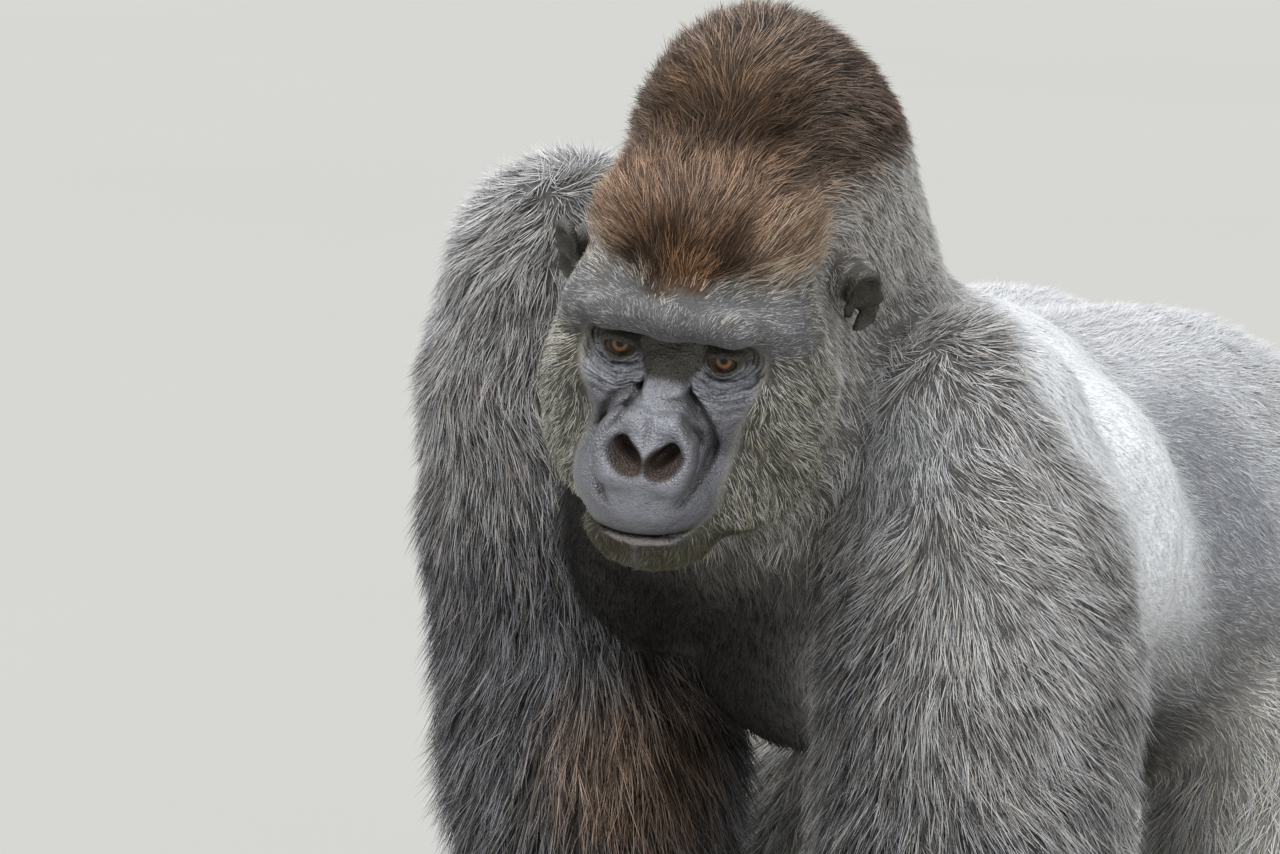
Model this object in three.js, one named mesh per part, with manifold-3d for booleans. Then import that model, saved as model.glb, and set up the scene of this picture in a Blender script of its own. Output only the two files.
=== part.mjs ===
// A silverback western lowland gorilla, life size, standing still on its knuckles and soles with the
// weight on its right arm, the head lowered and turned a little to its left.
//
// The outline is that of the coat. The body is one smooth field of ellipsoids and tapered round bars.
// Each named part is meshed from that field inside its own box, thinned to few triangles, and parted
// from its neighbours by thin cuts. Millimetres, +Z up, the animal faces -Y and its left side is +X.
import * as THREE from "three";
import { mergeVertices } from "three/addons/utils/BufferGeometryUtils.js";
import Module from "manifold-3d";

const wasm = await Module();
wasm.setup();

// ---------------------------------------------------------------- driving dimensions, in millimetres

const CUT = 0.6; // width of the thin cuts that part the body
const EYE_SPACING = 70; // between the pupils
const EYE_RADIUS = 12.5;
const EYE_HEIGHT = 890; // of the point between the eyes, above the floor
const HEAD_TURN = { yaw: 21, pitch: 19, roll: 8.5 }; // degrees: to its left, down, chin to its right

const v = (x, y, z) => new THREE.Vector3(x, y, z);

// Joint centres. y is measured back from the line between the shoulders.
const EYES = v(127, -281, EYE_HEIGHT);
const ARMS = {
  left: { shoulder: v(174, -22, 818), elbow: v(178, -28, 430), wrist: v(184, -165, 150), girth: 1.04 },
  right: { shoulder: v(-188, 15, 892), elbow: v(-190, 52, 490), wrist: v(-186, -20, 150), girth: 1 },
};
const LEGS = {
  left: { hip: v(112, 478, 655), knee: v(212, 275, 400), ankle: v(188, 440, 92), out: 14 },
  right: { hip: v(-112, 478, 655), knee: v(-220, 260, 402), ankle: v(-200, 400, 92), out: -16 },
};

// ---------------------------------------------------------------- the field

// Signed distance to an ellipsoid with these half axes, turned by an optional Euler angle in degrees.
function ellipsoid(centre, half, turn = [0, 0, 0]) {
  const angles = new THREE.Euler(...turn.map(THREE.MathUtils.degToRad), "ZYX");
  const m = new THREE.Matrix4().makeRotationFromEuler(angles).transpose().elements;
  const [a, b, c] = half;
  return (x, y, z) => {
    const px = x - centre.x;
    const py = y - centre.y;
    const pz = z - centre.z;
    const qx = (m[0] * px + m[4] * py + m[8] * pz) / a;
    const qy = (m[1] * px + m[5] * py + m[9] * pz) / b;
    const qz = (m[2] * px + m[6] * py + m[10] * pz) / c;
    const k0 = Math.hypot(qx, qy, qz);
    const k1 = Math.hypot(qx / a, qy / b, qz / c);
    return k1 > 1e-9 ? (k0 * (k0 - 1)) / k1 : -Math.min(a, b, c);
  };
}

// Signed distance to a tapered bar with round ends.
function bar(from, to, r1, r2) {
  const d = to.clone().sub(from);
  const l2 = d.lengthSq();
  const rr = r1 - r2;
  const a2 = l2 - rr * rr;
  return (x, y, z) => {
    const px = x - from.x;
    const py = y - from.y;
    const pz = z - from.z;
    const s = px * d.x + py * d.y + pz * d.z;
    const t = s - l2;
    const x2 = (px * l2 - d.x * s) ** 2 + (py * l2 - d.y * s) ** 2 + (pz * l2 - d.z * s) ** 2;
    const y2 = s * s * l2;
    const z2 = t * t * l2;
    const k = Math.sign(rr) * rr * rr * x2;
    if (Math.sign(t) * a2 * z2 > k) return Math.sqrt(x2 + z2) / l2 - r2;
    if (Math.sign(s) * a2 * y2 < k) return Math.sqrt(x2 + y2) / l2 - r1;
    return (Math.sqrt((x2 * a2) / l2) + s * rr) / l2 - r1;
  };
}

const blend = (a, b, k) => {
  const h = Math.max(k - Math.abs(a - b), 0) / k;
  return Math.min(a, b) - (h * h * k) / 4;
};

// One field for several shapes, melted into each other over about k.
const melt = (k, ...shapes) => (x, y, z) => {
  let d = shapes[0](x, y, z);
  for (let i = 1; i < shapes.length; i++) d = blend(d, shapes[i](x, y, z), k);
  return d;
};

// The shape with dents taken out of it, their rims rounded over about k.
const dent = (k, shape, ...dents) => (x, y, z) => {
  let d = shape(x, y, z);
  for (const cut of dents) d = -blend(-d, cut(x, y, z), k);
  return d;
};

// Tapered bars end to end through [point, radius] stations.
const chain = (k, ...stations) =>
  melt(k, ...stations.slice(1).map(([to, r2], i) => bar(stations[i][0], to, stations[i][1], r2)));

// A shape made wider than it is round, about the plane x = 0.
const widened = (share, shape) => (x, y, z) => shape(x / share, y, z);

const mirrored = (make) => [make(1), make(-1)];

// ---------------------------------------------------------------- head, in its own frame at the eyes

const headMatrix = new THREE.Matrix4()
  .makeRotationZ(THREE.MathUtils.degToRad(HEAD_TURN.yaw))
  .multiply(new THREE.Matrix4().makeRotationX(THREE.MathUtils.degToRad(HEAD_TURN.pitch)))
  .multiply(new THREE.Matrix4().makeRotationY(THREE.MathUtils.degToRad(HEAD_TURN.roll)))
  .setPosition(EYES);
const headInverse = headMatrix.clone().invert().elements;
const onHead = (x, y, z) => v(x, y, z).applyMatrix4(headMatrix);

// Turns a shape in the head's frame into one in the body's.
const headed = (shape) => {
  const m = headInverse;
  return (x, y, z) =>
    shape(
      m[0] * x + m[4] * y + m[8] * z + m[12],
      m[1] * x + m[5] * y + m[9] * z + m[13],
      m[2] * x + m[6] * y + m[10] * z + m[14],
    );
};

function headField() {
  const dome = ellipsoid(v(2, 172, 66), [86, 111, 104]);
  const foreheadPad = ellipsoid(v(0, 78, 50), [84, 78, 70]);
  const cheeks = mirrored((s) => ellipsoid(v(s * 52, 68, -50), [52, 76, 84], [0, 0, s * 8]));
  const jaw = ellipsoid(v(0, 56, -94), [86, 80, 60]);
  const skull = melt(16, melt(26, dome, foreheadPad), melt(26, ...cheeks, jaw));

  const brow = melt(
    6,
    ...mirrored((s) => bar(v(0, -7, 21), v(s * 42, -2, 20), 15, 14)),
    ...mirrored((s) => bar(v(s * 42, -2, 20), v(s * 68, 24, 10), 14, 13)),
  );
  const cheekbones = mirrored((s) => ellipsoid(v(s * 54, 28, -26), [32, 34, 22], [0, 0, s * 25]));
  const bridge = bar(v(0, 6, 2), v(0, -26, -34), 11, 18);
  const muzzle = ellipsoid(v(0, 2, -86), [55, 56, 34], [10, 0, 0]);
  const chin = ellipsoid(v(0, 6, -126), [50, 48, 32]);
  const wings = mirrored((s) => ellipsoid(v(s * 17, -34, -50), [18, 20, 18], [0, s * 20, 0]));
  const noseTip = ellipsoid(v(0, -36, -64), [24, 20, 19]);
  const nose = melt(8, ...wings, noseTip);
  const nostrils = mirrored((s) => ellipsoid(v(s * 13, -54, -52), [9, 17, 7.5], [0, s * -32, 0]));

  const sockets = mirrored((s) => ellipsoid(v((s * EYE_SPACING) / 2, -6, -3), [20, 16, 12]));
  const face = melt(12, skull, melt(10, brow, ...cheekbones), melt(12, muzzle, chin), bridge);
  return dent(5, dent(10, melt(6, face, nose), ...sockets), ...nostrils);
}

// ---------------------------------------------------------------- limbs

function arm(side, { shoulder, elbow, wrist, girth }) {
  const s = side === "left" ? 1 : -1;
  const on = (share, x, y, z = 0) => {
    const p = share < 1 ? shoulder.clone().lerp(elbow, share) : elbow.clone().lerp(wrist, share - 1);
    return p.add(v(s * x, y, z));
  };
  return chain(
    10,
    [on(0, -4, 0, -4), 96],
    [on(0.2, 10, 2), 108 * girth],
    [on(0.4, 8, 4), 112 * girth],
    [on(0.8, 0, 2), 108 * girth],
    [on(1.1, 0, 4), 92],
    [on(1.45, 0, 6), 84],
    [on(2, 0, 0), 44],
  );
}

// A hand that stands on the backs of its middle finger bones, with the thumb hanging beside it.
function hand(side, { wrist }) {
  const s = side === "left" ? 1 : -1;
  const at = (x, y, z) => v(wrist.x + s * x, wrist.y + y, z);
  const palm = melt(
    14,
    bar(at(-16, 0, wrist.z), at(-34, -8, 92), 34, 22),
    bar(at(16, 0, wrist.z), at(34, -8, 92), 34, 22),
    bar(at(0, 0, wrist.z), at(0, -12, 90), 36, 24),
  );
  const fingers = [-45, -15, 15, 45].map((x, i) => {
    const reach = [0.86, 1, 0.98, 0.82][i];
    const knuckle = at(x, -14, 84);
    const bend = at(x * 1.08, -20 - 44 * reach, 13.5);
    const tip = at(x * 1.02, -12, 12);
    return melt(
      7,
      bar(knuckle, bend, 18.5, 17),
      bar(bend, tip, 17, 14.5),
      bar(tip, at(x, 4, 30), 14.5, 12.5),
    );
  });
  const thumb = bar(at(-54, 0, 118), at(-66, -24, 66), 15, 11.5);
  return melt(9, palm, thumb, ...fingers);
}

function leg(side, { hip, knee, ankle }) {
  const s = side === "left" ? 1 : -1;
  const mid = hip.clone().lerp(knee, 0.5);
  const calf = knee.clone().lerp(ankle, 0.4);
  return melt(
    45,
    bar(hip, knee, 140, 84),
    ellipsoid(v(mid.x + s * 8, mid.y + 30, mid.z - 10), [92, 118, 128]),
    ellipsoid(v(hip.x + s * 6, hip.y + 62, hip.z - 20), [98, 92, 122]),
    bar(knee, calf, 80, 74),
    bar(calf, ankle, 74, 46),
  );
}

// A flat foot: heel, sole, four toes side by side and a great toe set apart like a thumb.
function foot(side, { ankle, out }) {
  const s = side === "left" ? 1 : -1;
  const turn = THREE.MathUtils.degToRad(out);
  const at = (x, forward, z) =>
    v(
      ankle.x + s * x * Math.cos(turn) + forward * Math.sin(turn),
      ankle.y - forward * Math.cos(turn) + s * x * Math.sin(turn),
      z,
    );
  const sole = melt(
    22,
    bar(ankle, at(0, -34, 34), 44, 33),
    bar(at(0, -34, 29), at(4, 96, 25), 32, 28),
    bar(at(-4, 30, 44), at(-18, 104, 27), 34, 24),
    bar(ankle, at(2, 52, 46), 40, 32),
    bar(at(14, 70, 23), at(34, 110, 18), 25, 20),
  );
  const toes = [-12, 13, 36, 56].map((x, i) => {
    const length = [74, 78, 70, 58][i];
    const knuckle = at(x, 112 - i * 6, 22);
    const bend = at(x * 1.06, 112 - i * 6 + length * 0.55, 25);
    const tip = at(x * 1.04, 112 - i * 6 + length, 11);
    return melt(6, bar(knuckle, bend, 16.5, 15), bar(bend, tip, 15, 13));
  });
  const greatToe = melt(
    8,
    bar(at(-22, 42, 24), at(-56, 96, 20), 24, 19),
    bar(at(-56, 96, 20), at(-66, 136, 14), 19, 15.5),
  );
  return melt(10, sole, greatToe, ...toes);
}

// ---------------------------------------------------------------- trunk

function trunkField() {
  const core = widened(
    1.14,
    chain(
      14,
      [v(0, 10, 796), 130],
      [v(0, 150, 732), 160],
      [v(0, 300, 694), 170],
      [v(0, 440, 688), 152],
      [v(0, 545, 662), 112],
    ),
  );
  const loins = mirrored((s) => ellipsoid(v(s * 60, 320, 753 - s * 4), [92, 190, 124], [-3, 0, 0]));
  const flanks = mirrored((s) => ellipsoid(v(s * 132, 88, 752 - s * 15), [114, 128, 128]));
  const shoulderBlades = [
    ellipsoid(v(84, 72, 826), [80, 132, 76], [0, 16, 0]),
    ellipsoid(v(-104, 72, 862), [86, 132, 78], [0, -12, 0]),
  ];
  const breasts = mirrored((s) => ellipsoid(v(s * 70, -34, 742), [78, 68, 92]));
  return melt(24, core, ...loins, ...flanks, ...shoulderBlades, ...breasts);
}

function neckField() {
  return melt(
    20,
    bar(v(90, -118, 1000), v(4, 36, 846), 93, 108),
    bar(onHead(0, 110, -20), v(40, -40, 800), 80, 100),
  );
}

// ---------------------------------------------------------------- the whole body

const head = headed(headField());
const trunk = trunkField();
const neck = neckField();
const arms = Object.entries(ARMS).map(([side, joints]) => arm(side, joints));
const hands = Object.entries(ARMS).map(([side, joints]) => hand(side, joints));
const legs = Object.entries(LEGS).map(([side, joints]) => leg(side, joints));
const feet = Object.entries(LEGS).map(([side, joints]) => foot(side, joints));

const torso = melt(28, trunk, neck);
const wholeArms = arms.map((a, i) => melt(16, a, hands[i]));
const wholeLegs = legs.map((l, i) => melt(26, l, feet[i]));
const limbs = melt(20, ...wholeArms, ...wholeLegs);
const body = melt(20, melt(24, torso, limbs), head);

// ---------------------------------------------------------------- from field to closed triangle mesh

// The six tetrahedra of a grid cell, each turned the same way; corner bits are x, y, z.
const CELL_TETS = [
  [0, 1, 3, 7],
  [0, 2, 6, 7],
  [0, 4, 5, 7],
  [0, 1, 7, 5],
  [0, 2, 7, 3],
  [0, 4, 7, 6],
];

// For each pattern of inside corners, an even order of the four that brings the inside ones first.
const TET_ORDER = {
  1: [0, 1, 2, 3],
  2: [1, 0, 3, 2],
  4: [2, 0, 1, 3],
  8: [3, 1, 0, 2],
  3: [0, 1, 2, 3],
  5: [0, 2, 3, 1],
  9: [0, 3, 1, 2],
  6: [1, 2, 0, 3],
  10: [1, 3, 2, 0],
  12: [2, 3, 0, 1],
};

// Meshes the zero surface inside a box of cells; what runs out of the box is closed off at its sides.
function surface(field, lo, hi, cell, place = new THREE.Matrix4()) {
  const n = [0, 1, 2].map((i) => Math.ceil((hi.getComponent(i) - lo.getComponent(i)) / cell) + 1);
  const at = (i, j, k) => i + n[0] * (j + n[1] * k);
  const m = place.elements;
  const spot = (x, y, z) => [
    m[0] * x + m[4] * y + m[8] * z + m[12],
    m[1] * x + m[5] * y + m[9] * z + m[13],
    m[2] * x + m[6] * y + m[10] * z + m[14],
  ];
  const values = new Float64Array(n[0] * n[1] * n[2]);
  for (let k = 0; k < n[2]; k++) {
    for (let j = 0; j < n[1]; j++) {
      for (let i = 0; i < n[0]; i++) {
        const p = spot(lo.x + i * cell, lo.y + j * cell, lo.z + k * cell);
        const rim = i * j * k === 0 || i === n[0] - 1 || j === n[1] - 1 || k === n[2] - 1;
        const d = field(...p);
        const kept = Math.abs(d) < 0.02 * cell ? 0.02 * cell * (d < 0 ? -1 : 1) : d;
        values[at(i, j, k)] = rim ? Math.max(kept, 0.4 * cell) : kept;
      }
    }
  }

  const points = [];
  const faces = [];
  const known = new Map();
  const crossing = (a, b) => {
    const key = a < b ? a * values.length + b : b * values.length + a;
    let id = known.get(key);
    if (id === undefined) {
      const t = values[a] / (values[a] - values[b]);
      const corner = (c) => [c % n[0], Math.floor(c / n[0]) % n[1], Math.floor(c / (n[0] * n[1]))];
      const [pa, pb] = [corner(a), corner(b)];
      const [x, y, z] = pa.map((c, i) => lo.getComponent(i) + (c + (pb[i] - c) * t) * cell);
      id = points.length;
      points.push(spot(x, y, z));
      known.set(key, id);
    }
    return id;
  };

  const corners = new Array(8);
  for (let k = 0; k < n[2] - 1; k++) {
    for (let j = 0; j < n[1] - 1; j++) {
      for (let i = 0; i < n[0] - 1; i++) {
        let inside = 0;
        for (let c = 0; c < 8; c++) {
          corners[c] = at(i + (c & 1), j + ((c >> 1) & 1), k + (c >> 2));
          if (values[corners[c]] < 0) inside++;
        }
        if (inside === 0 || inside === 8) continue;
        for (const tet of CELL_TETS) {
          let mask = 0;
          for (let c = 0; c < 4; c++) if (values[corners[tet[c]]] < 0) mask |= 1 << c;
          if (mask === 0 || mask === 15) continue;
          const single = TET_ORDER[mask] && (mask & (mask - 1)) === 0;
          const three = TET_ORDER[15 - mask] && ((15 - mask) & (14 - mask)) === 0;
          const [p, q, r, s] = (TET_ORDER[three ? 15 - mask : mask]).map((c) => corners[tet[c]]);
          if (single) faces.push([crossing(p, q), crossing(p, r), crossing(p, s)]);
          else if (three) faces.push([crossing(p, r), crossing(p, q), crossing(p, s)]);
          else {
            const [pr, ps, qr, qs] = [crossing(p, r), crossing(p, s), crossing(q, r), crossing(q, s)];
            faces.push([pr, ps, qs], [pr, qs, qr]);
          }
        }
      }
    }
  }
  return { points, faces };
}

// ---------------------------------------------------------------- fewer triangles

// A heap of edges, the cheapest on top.
class Queue {
  items = [];
  push(item) {
    const a = this.items;
    let i = a.push(item) - 1;
    while (i > 0) {
      const up = (i - 1) >> 1;
      if (a[up].cost <= a[i].cost) break;
      [a[up], a[i]] = [a[i], a[up]];
      i = up;
    }
  }
  pop() {
    const a = this.items;
    const top = a[0];
    const last = a.pop();
    if (a.length) {
      a[0] = last;
      let i = 0;
      for (;;) {
        let low = i;
        for (const c of [2 * i + 1, 2 * i + 2]) if (c < a.length && a[c].cost < a[low].cost) low = c;
        if (low === i) break;
        [a[low], a[i]] = [a[i], a[low]];
        i = low;
      }
    }
    return top;
  }
}

const cross = (a, b, c) => {
  const [ux, uy, uz] = [b[0] - a[0], b[1] - a[1], b[2] - a[2]];
  const [wx, wy, wz] = [c[0] - a[0], c[1] - a[1], c[2] - a[2]];
  return [uy * wz - uz * wy, uz * wx - ux * wz, ux * wy - uy * wx];
};

// Squared distance to the planes of a corner's faces, as the ten numbers of a symmetric 4 x 4 matrix.
function cornerQuadrics({ points, faces }) {
  const all = points.map(() => new Float64Array(10));
  for (const [a, b, c] of faces) {
    const n = cross(points[a], points[b], points[c]);
    const area = Math.hypot(...n);
    if (area < 1e-9) continue;
    const [x, y, z] = n.map((e) => e / area);
    const w = -(x * points[a][0] + y * points[a][1] + z * points[a][2]);
    const plane = [x * x, x * y, x * z, x * w, y * y, y * z, y * w, z * z, z * w, w * w];
    for (const corner of [a, b, c]) plane.forEach((e, i) => (all[corner][i] += e * area));
  }
  return all;
}

const cost = (q, [x, y, z]) =>
  q[0] * x * x + 2 * q[1] * x * y + 2 * q[2] * x * z + 2 * q[3] * x + q[4] * y * y +
  2 * q[5] * y * z + 2 * q[6] * y + q[7] * z * z + 2 * q[8] * z + q[9];

// The point with the least cost, or the middle of the edge where that point is not well placed.
function bestPoint(q, a, b) {
  const middle = [0, 1, 2].map((i) => (a[i] + b[i]) / 2);
  const det =
    q[0] * (q[4] * q[7] - q[5] * q[5]) - q[1] * (q[1] * q[7] - q[5] * q[2]) +
    q[2] * (q[1] * q[5] - q[4] * q[2]);
  if (Math.abs(det) < 1e-7 * (q[0] + q[4] + q[7]) ** 3) return middle;
  const [e, f, g] = [-q[3], -q[6], -q[8]];
  const point = [
    (e * (q[4] * q[7] - q[5] * q[5]) - q[1] * (f * q[7] - q[5] * g) + q[2] * (f * q[5] - q[4] * g)) / det,
    (q[0] * (f * q[7] - q[5] * g) - e * (q[1] * q[7] - q[5] * q[2]) + q[2] * (q[1] * g - f * q[2])) / det,
    (q[0] * (q[4] * g - q[5] * f) - q[1] * (q[1] * g - f * q[2]) + e * (q[1] * q[5] - q[4] * q[2])) / det,
  ];
  const far = Math.hypot(...point.map((c, i) => c - middle[i]));
  const span = Math.hypot(...a.map((c, i) => c - b[i]));
  return far < 1.5 * span ? point : middle;
}

// Collapses the cheapest edges of a closed mesh until this many faces are left.
function thin(mesh, target) {
  const points = mesh.points;
  const faces = mesh.faces;
  const quadrics = cornerQuadrics(mesh);
  const around = points.map(() => new Set());
  faces.forEach((face, i) => face.forEach((corner) => around[corner].add(i)));
  const age = new Uint32Array(points.length);
  const queue = new Queue();

  const neighbours = (corner) => {
    const found = new Set();
    for (const f of around[corner]) for (const c of faces[f]) if (c !== corner) found.add(c);
    return found;
  };
  const enqueue = (a, b) => {
    const q = quadrics[a].map((e, i) => e + quadrics[b][i]);
    const point = bestPoint(q, points[a], points[b]);
    const span = Math.hypot(...points[a].map((c, i) => c - points[b][i]));
    queue.push({ a, b, point, q, cost: cost(q, point) + 1e-4 * span ** 3, ages: [age[a], age[b]] });
  };
  const holds = (corner, other, point) => {
    for (const f of around[corner]) {
      if (faces[f].includes(other)) continue;
      const old = faces[f].map((c) => points[c]);
      const moved = faces[f].map((c) => (c === corner ? point : points[c]));
      const before = cross(...old);
      const after = cross(...moved);
      const dot = before[0] * after[0] + before[1] * after[1] + before[2] * after[2];
      if (dot <= 0.25 * Math.hypot(...before) * Math.hypot(...after)) return false;
    }
    return true;
  };

  const started = new Set();
  for (const face of faces) {
    for (let i = 0; i < 3; i++) {
      const [a, b] = [face[i], face[(i + 1) % 3]].sort((p, q) => p - q);
      const key = a * points.length + b;
      if (!started.has(key)) enqueue(a, b);
      started.add(key);
    }
  }

  let left = faces.length;
  while (left > target && queue.items.length) {
    const { a, b, point, q, ages } = queue.pop();
    if (age[a] !== ages[0] || age[b] !== ages[1] || !around[a].size || !around[b].size) continue;
    const nearB = neighbours(b);
    const shared = [...neighbours(a)].filter((c) => nearB.has(c));
    if (shared.length !== 2 || !holds(a, b, point) || !holds(b, a, point)) continue;
    for (const f of [...around[b]]) {
      if (faces[f].includes(a)) {
        for (const c of faces[f]) around[c].delete(f);
        faces[f] = null;
        left--;
      } else {
        faces[f] = faces[f].map((c) => (c === b ? a : c));
        around[a].add(f);
      }
    }
    around[b].clear();
    points[a] = point;
    quadrics[a] = q;
    age[a]++;
    age[b]++;
    for (const c of neighbours(a)) enqueue(a, c);
  }
  return { points, faces: faces.filter(Boolean) };
}

// ---------------------------------------------------------------- solids and cuts

function solidOf({ points, faces }) {
  const used = new Map();
  for (const face of faces) for (const c of face) if (!used.has(c)) used.set(c, used.size);
  const mesh = new wasm.Mesh({
    numProp: 3,
    vertProperties: Float32Array.from([...used.keys()].flatMap((c) => points[c])),
    triVerts: Uint32Array.from(faces.flatMap((face) => face.map((c) => used.get(c)))),
  });
  return new wasm.Manifold(mesh);
}

// The solid inside a three.js geometry.
function solidIn(geometry) {
  const bare = new THREE.BufferGeometry();
  bare.setAttribute("position", geometry.getAttribute("position"));
  bare.setIndex(geometry.getIndex());
  const merged = mergeVertices(bare, 1e-4);
  const mesh = new wasm.Mesh({
    numProp: 3,
    vertProperties: Float32Array.from(merged.getAttribute("position").array),
    triVerts: Uint32Array.from(merged.getIndex().array),
  });
  return new wasm.Manifold(mesh);
}

// Everything on the side of a plane that its normal points to.
const BEYOND = 2400;
function half(point, normal) {
  const n = normal.clone().normalize();
  const turn = new THREE.Quaternion().setFromUnitVectors(v(0, 0, 1), n);
  const box = new THREE.BoxGeometry(2 * BEYOND, 2 * BEYOND, BEYOND).translate(0, 0, BEYOND / 2);
  box.applyQuaternion(turn).translate(point.x, point.y, point.z);
  return solidIn(box);
}

// What is left of a solid on the front side of all these planes, drawn back from each by half a cut.
function within(solid, ...planes) {
  let kept = solid;
  for (const [point, normal] of planes) {
    const n = normal.clone().normalize();
    kept = kept.intersect(half(point.clone().addScaledVector(n, CUT / 2), n));
  }
  return kept;
}

// What is left of a solid outside the corner that all these planes share.
function outside(solid, ...planes) {
  let corner = null;
  for (const [point, normal] of planes) {
    const n = normal.clone().normalize();
    const side = half(point.clone().addScaledVector(n, -CUT / 2), n);
    corner = corner ? corner.intersect(side) : side;
  }
  return solid.subtract(corner);
}

// ---------------------------------------------------------------- the meshes the nodes are cut from

const meshed = (faces, ...where) => solidOf(thin(surface(body, ...where), faces));

const wholeBody = meshed(2650, v(-380, -440, -24), v(380, 740, 1180), 17);
const wholeHead = meshed(2900, v(-136, -110, -200), v(136, 290, 210), 5, headMatrix);
const above = half(v(0, 0, 0), v(0, 0, 1));
const extremity = (faces, { x, y }, reach, top) =>
  meshed(faces, v(x - 110, y - reach[0], -16), v(x + 110, y + reach[1], top), 4.5).intersect(above);
const handOf = ({ wrist }) => extremity(440, wrist, [130, 90], 205);
const footOf = ({ ankle }) => extremity(380, ankle, [260, 90], 150);

// ---------------------------------------------------------------- where the cuts run

const back = (n) => n.clone().negate();
const headWay = (x, y, z) => v(x, y, z).transformDirection(headMatrix);

// Behind this plane, from the back of the crown to the throat, the neck begins.
const nape = [onHead(0, 118, 0), headWay(0, 1, -0.52)];
// In front of and above this one it ends; the trunk and shoulders are on the far side.
const collar = [v(0, -20, 905), v(0, 0.72, -1)];
const waist = [v(0, 222, 700), v(0, 1, 0.12)];
const loin = [v(0, 405, 700), v(0, 1, -0.1)];
// The trunk hangs wholly above this level.
const underside = [v(0, 0, 460), v(0, 0, 1)];
// The mouth line, from the lips back up to the hinge of the jaw.
const mouth = [onHead(0, -50, -109), headWay(0, 0.16, -1)];
// The jaw stops short of the throat here.
const gullet = [onHead(0, 96, -120), headWay(0, -1, -0.1)];

const armPlanes = (side) => {
  const s = side === "left" ? 1 : -1;
  const { shoulder } = ARMS[side];
  const inner = [v(s * 94, 0, shoulder.z - 90), v(s, 0, -0.12)];
  const rear = [v(0, shoulder.y + 125, shoulder.z), v(0, -1, -0.15)];
  const top = [v(s * 110, shoulder.y, shoulder.z + 52), v(s * 0.9, 0.5, -1)];
  const elbowBack = [v(0, shoulder.y + 135, 400), v(0, -1, 0.25)];
  return [inner, rear, top, elbowBack];
};
const legPlanes = (side) => {
  const s = side === "left" ? 1 : -1;
  const inner = [v(s * 42, 0, 500), v(s, 0, -0.52)];
  const front = [v(0, 258, 560), v(0, 1, -0.85)];
  return [[v(0, 0, 0), v(s, 0, 0)], inner, front];
};
const across = (from, joint, to) => [joint, to.clone().sub(from)];

// ---------------------------------------------------------------- nodes

const group = new THREE.Group();
const COLOURS = {
  crown: 0x6e4b37,
  face: 0x46464e,
  grey: 0x6e6a69,
  dark: 0x484b52,
  silver: 0xd0d4da,
  hip: 0x96918c,
  eye: 0x7a4a1e,
};
const materialOf = (colour) =>
  new THREE.MeshStandardMaterial({
    color: COLOURS[colour],
    roughness: colour === "eye" ? 0.1 : 0.85,
    metalness: 0,
  });

function add(name, colour, solid) {
  const { vertProperties, triVerts, numProp } = solid.getMesh();
  const geometry = new THREE.BufferGeometry();
  const count = vertProperties.length / numProp;
  const xyz = new Float32Array(3 * count);
  for (let i = 0; i < count; i++) xyz.set(vertProperties.subarray(i * numProp, i * numProp + 3), 3 * i);
  geometry.setAttribute("position", new THREE.BufferAttribute(xyz, 3));
  geometry.setIndex(new THREE.BufferAttribute(new Uint32Array(triVerts), 1));
  const mesh = new THREE.Mesh(geometry, materialOf(colour));
  mesh.name = name;
  group.add(mesh);
}

const flip = ([point, normal]) => [point, back(normal)];

function ear(side) {
  const s = side === "left" ? 1 : -1;
  const rim = ellipsoid(v(s * 99, 112, 6), [9, 16, 25], [8, s * 10, s * -28]);
  const bowl = ellipsoid(v(s * 108, 105, 8), [9, 9, 17], [8, s * 10, s * -28]);
  return dent(3, rim, bowl);
}
const earBox = (side) => {
  const s = side === "left" ? 1 : -1;
  return [onHead(s * 88, 0, 0), headWay(s, 0, 0)];
};

function addHead() {
  const skull = within(wholeHead, flip(nape));
  const jawRoom = [mouth, gullet];
  const eyeAt = (s) => onHead((s * EYE_SPACING) / 2, 6, -2);
  let upper = outside(skull, ...jawRoom);
  const ears = {};
  for (const [side, s] of [["left", 1], ["right", -1]]) {
    const pinna = surface(headed(ear(side)), v(s * 99 - 24, 80, -30), v(s * 99 + 24, 145, 42), 2.6, headMatrix);
    const whole = solidOf(thin(pinna, 200));
    ears[side] = within(whole, earBox(side)).subtract(upper);
    const socket = new THREE.SphereGeometry(EYE_RADIUS + CUT / 2, 14, 9);
    upper = upper.subtract(solidIn(socket.translate(...eyeAt(s).toArray())));
  }
  add("head", "crown", upper);
  add("jaw", "face", within(skull, ...jawRoom));
  for (const [side, s] of [["left", 1], ["right", -1]]) {
    add(`ear_${side}`, "face", ears[side]);
    const ball = new THREE.SphereGeometry(EYE_RADIUS, 14, 9);
    add(`eye_${side}`, "eye", solidIn(ball.translate(...eyeAt(s).toArray())));
  }
}

// Neck and trunk: what is left of the whole once the head, the arms and the legs are off it.
function addTrunk() {
  let rest = within(wholeBody, nape, underside);
  for (const side of ["left", "right"]) {
    rest = outside(rest, ...armPlanes(side));
    rest = outside(rest, ...legPlanes(side));
  }
  add("neck", "grey", within(rest, flip(collar)));
  const trunk = within(rest, collar);
  add("chest", "grey", within(trunk, flip(waist)));
  add("belly", "silver", within(trunk, waist, flip(loin)));
  add("rump", "hip", within(trunk, loin));
}

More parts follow.
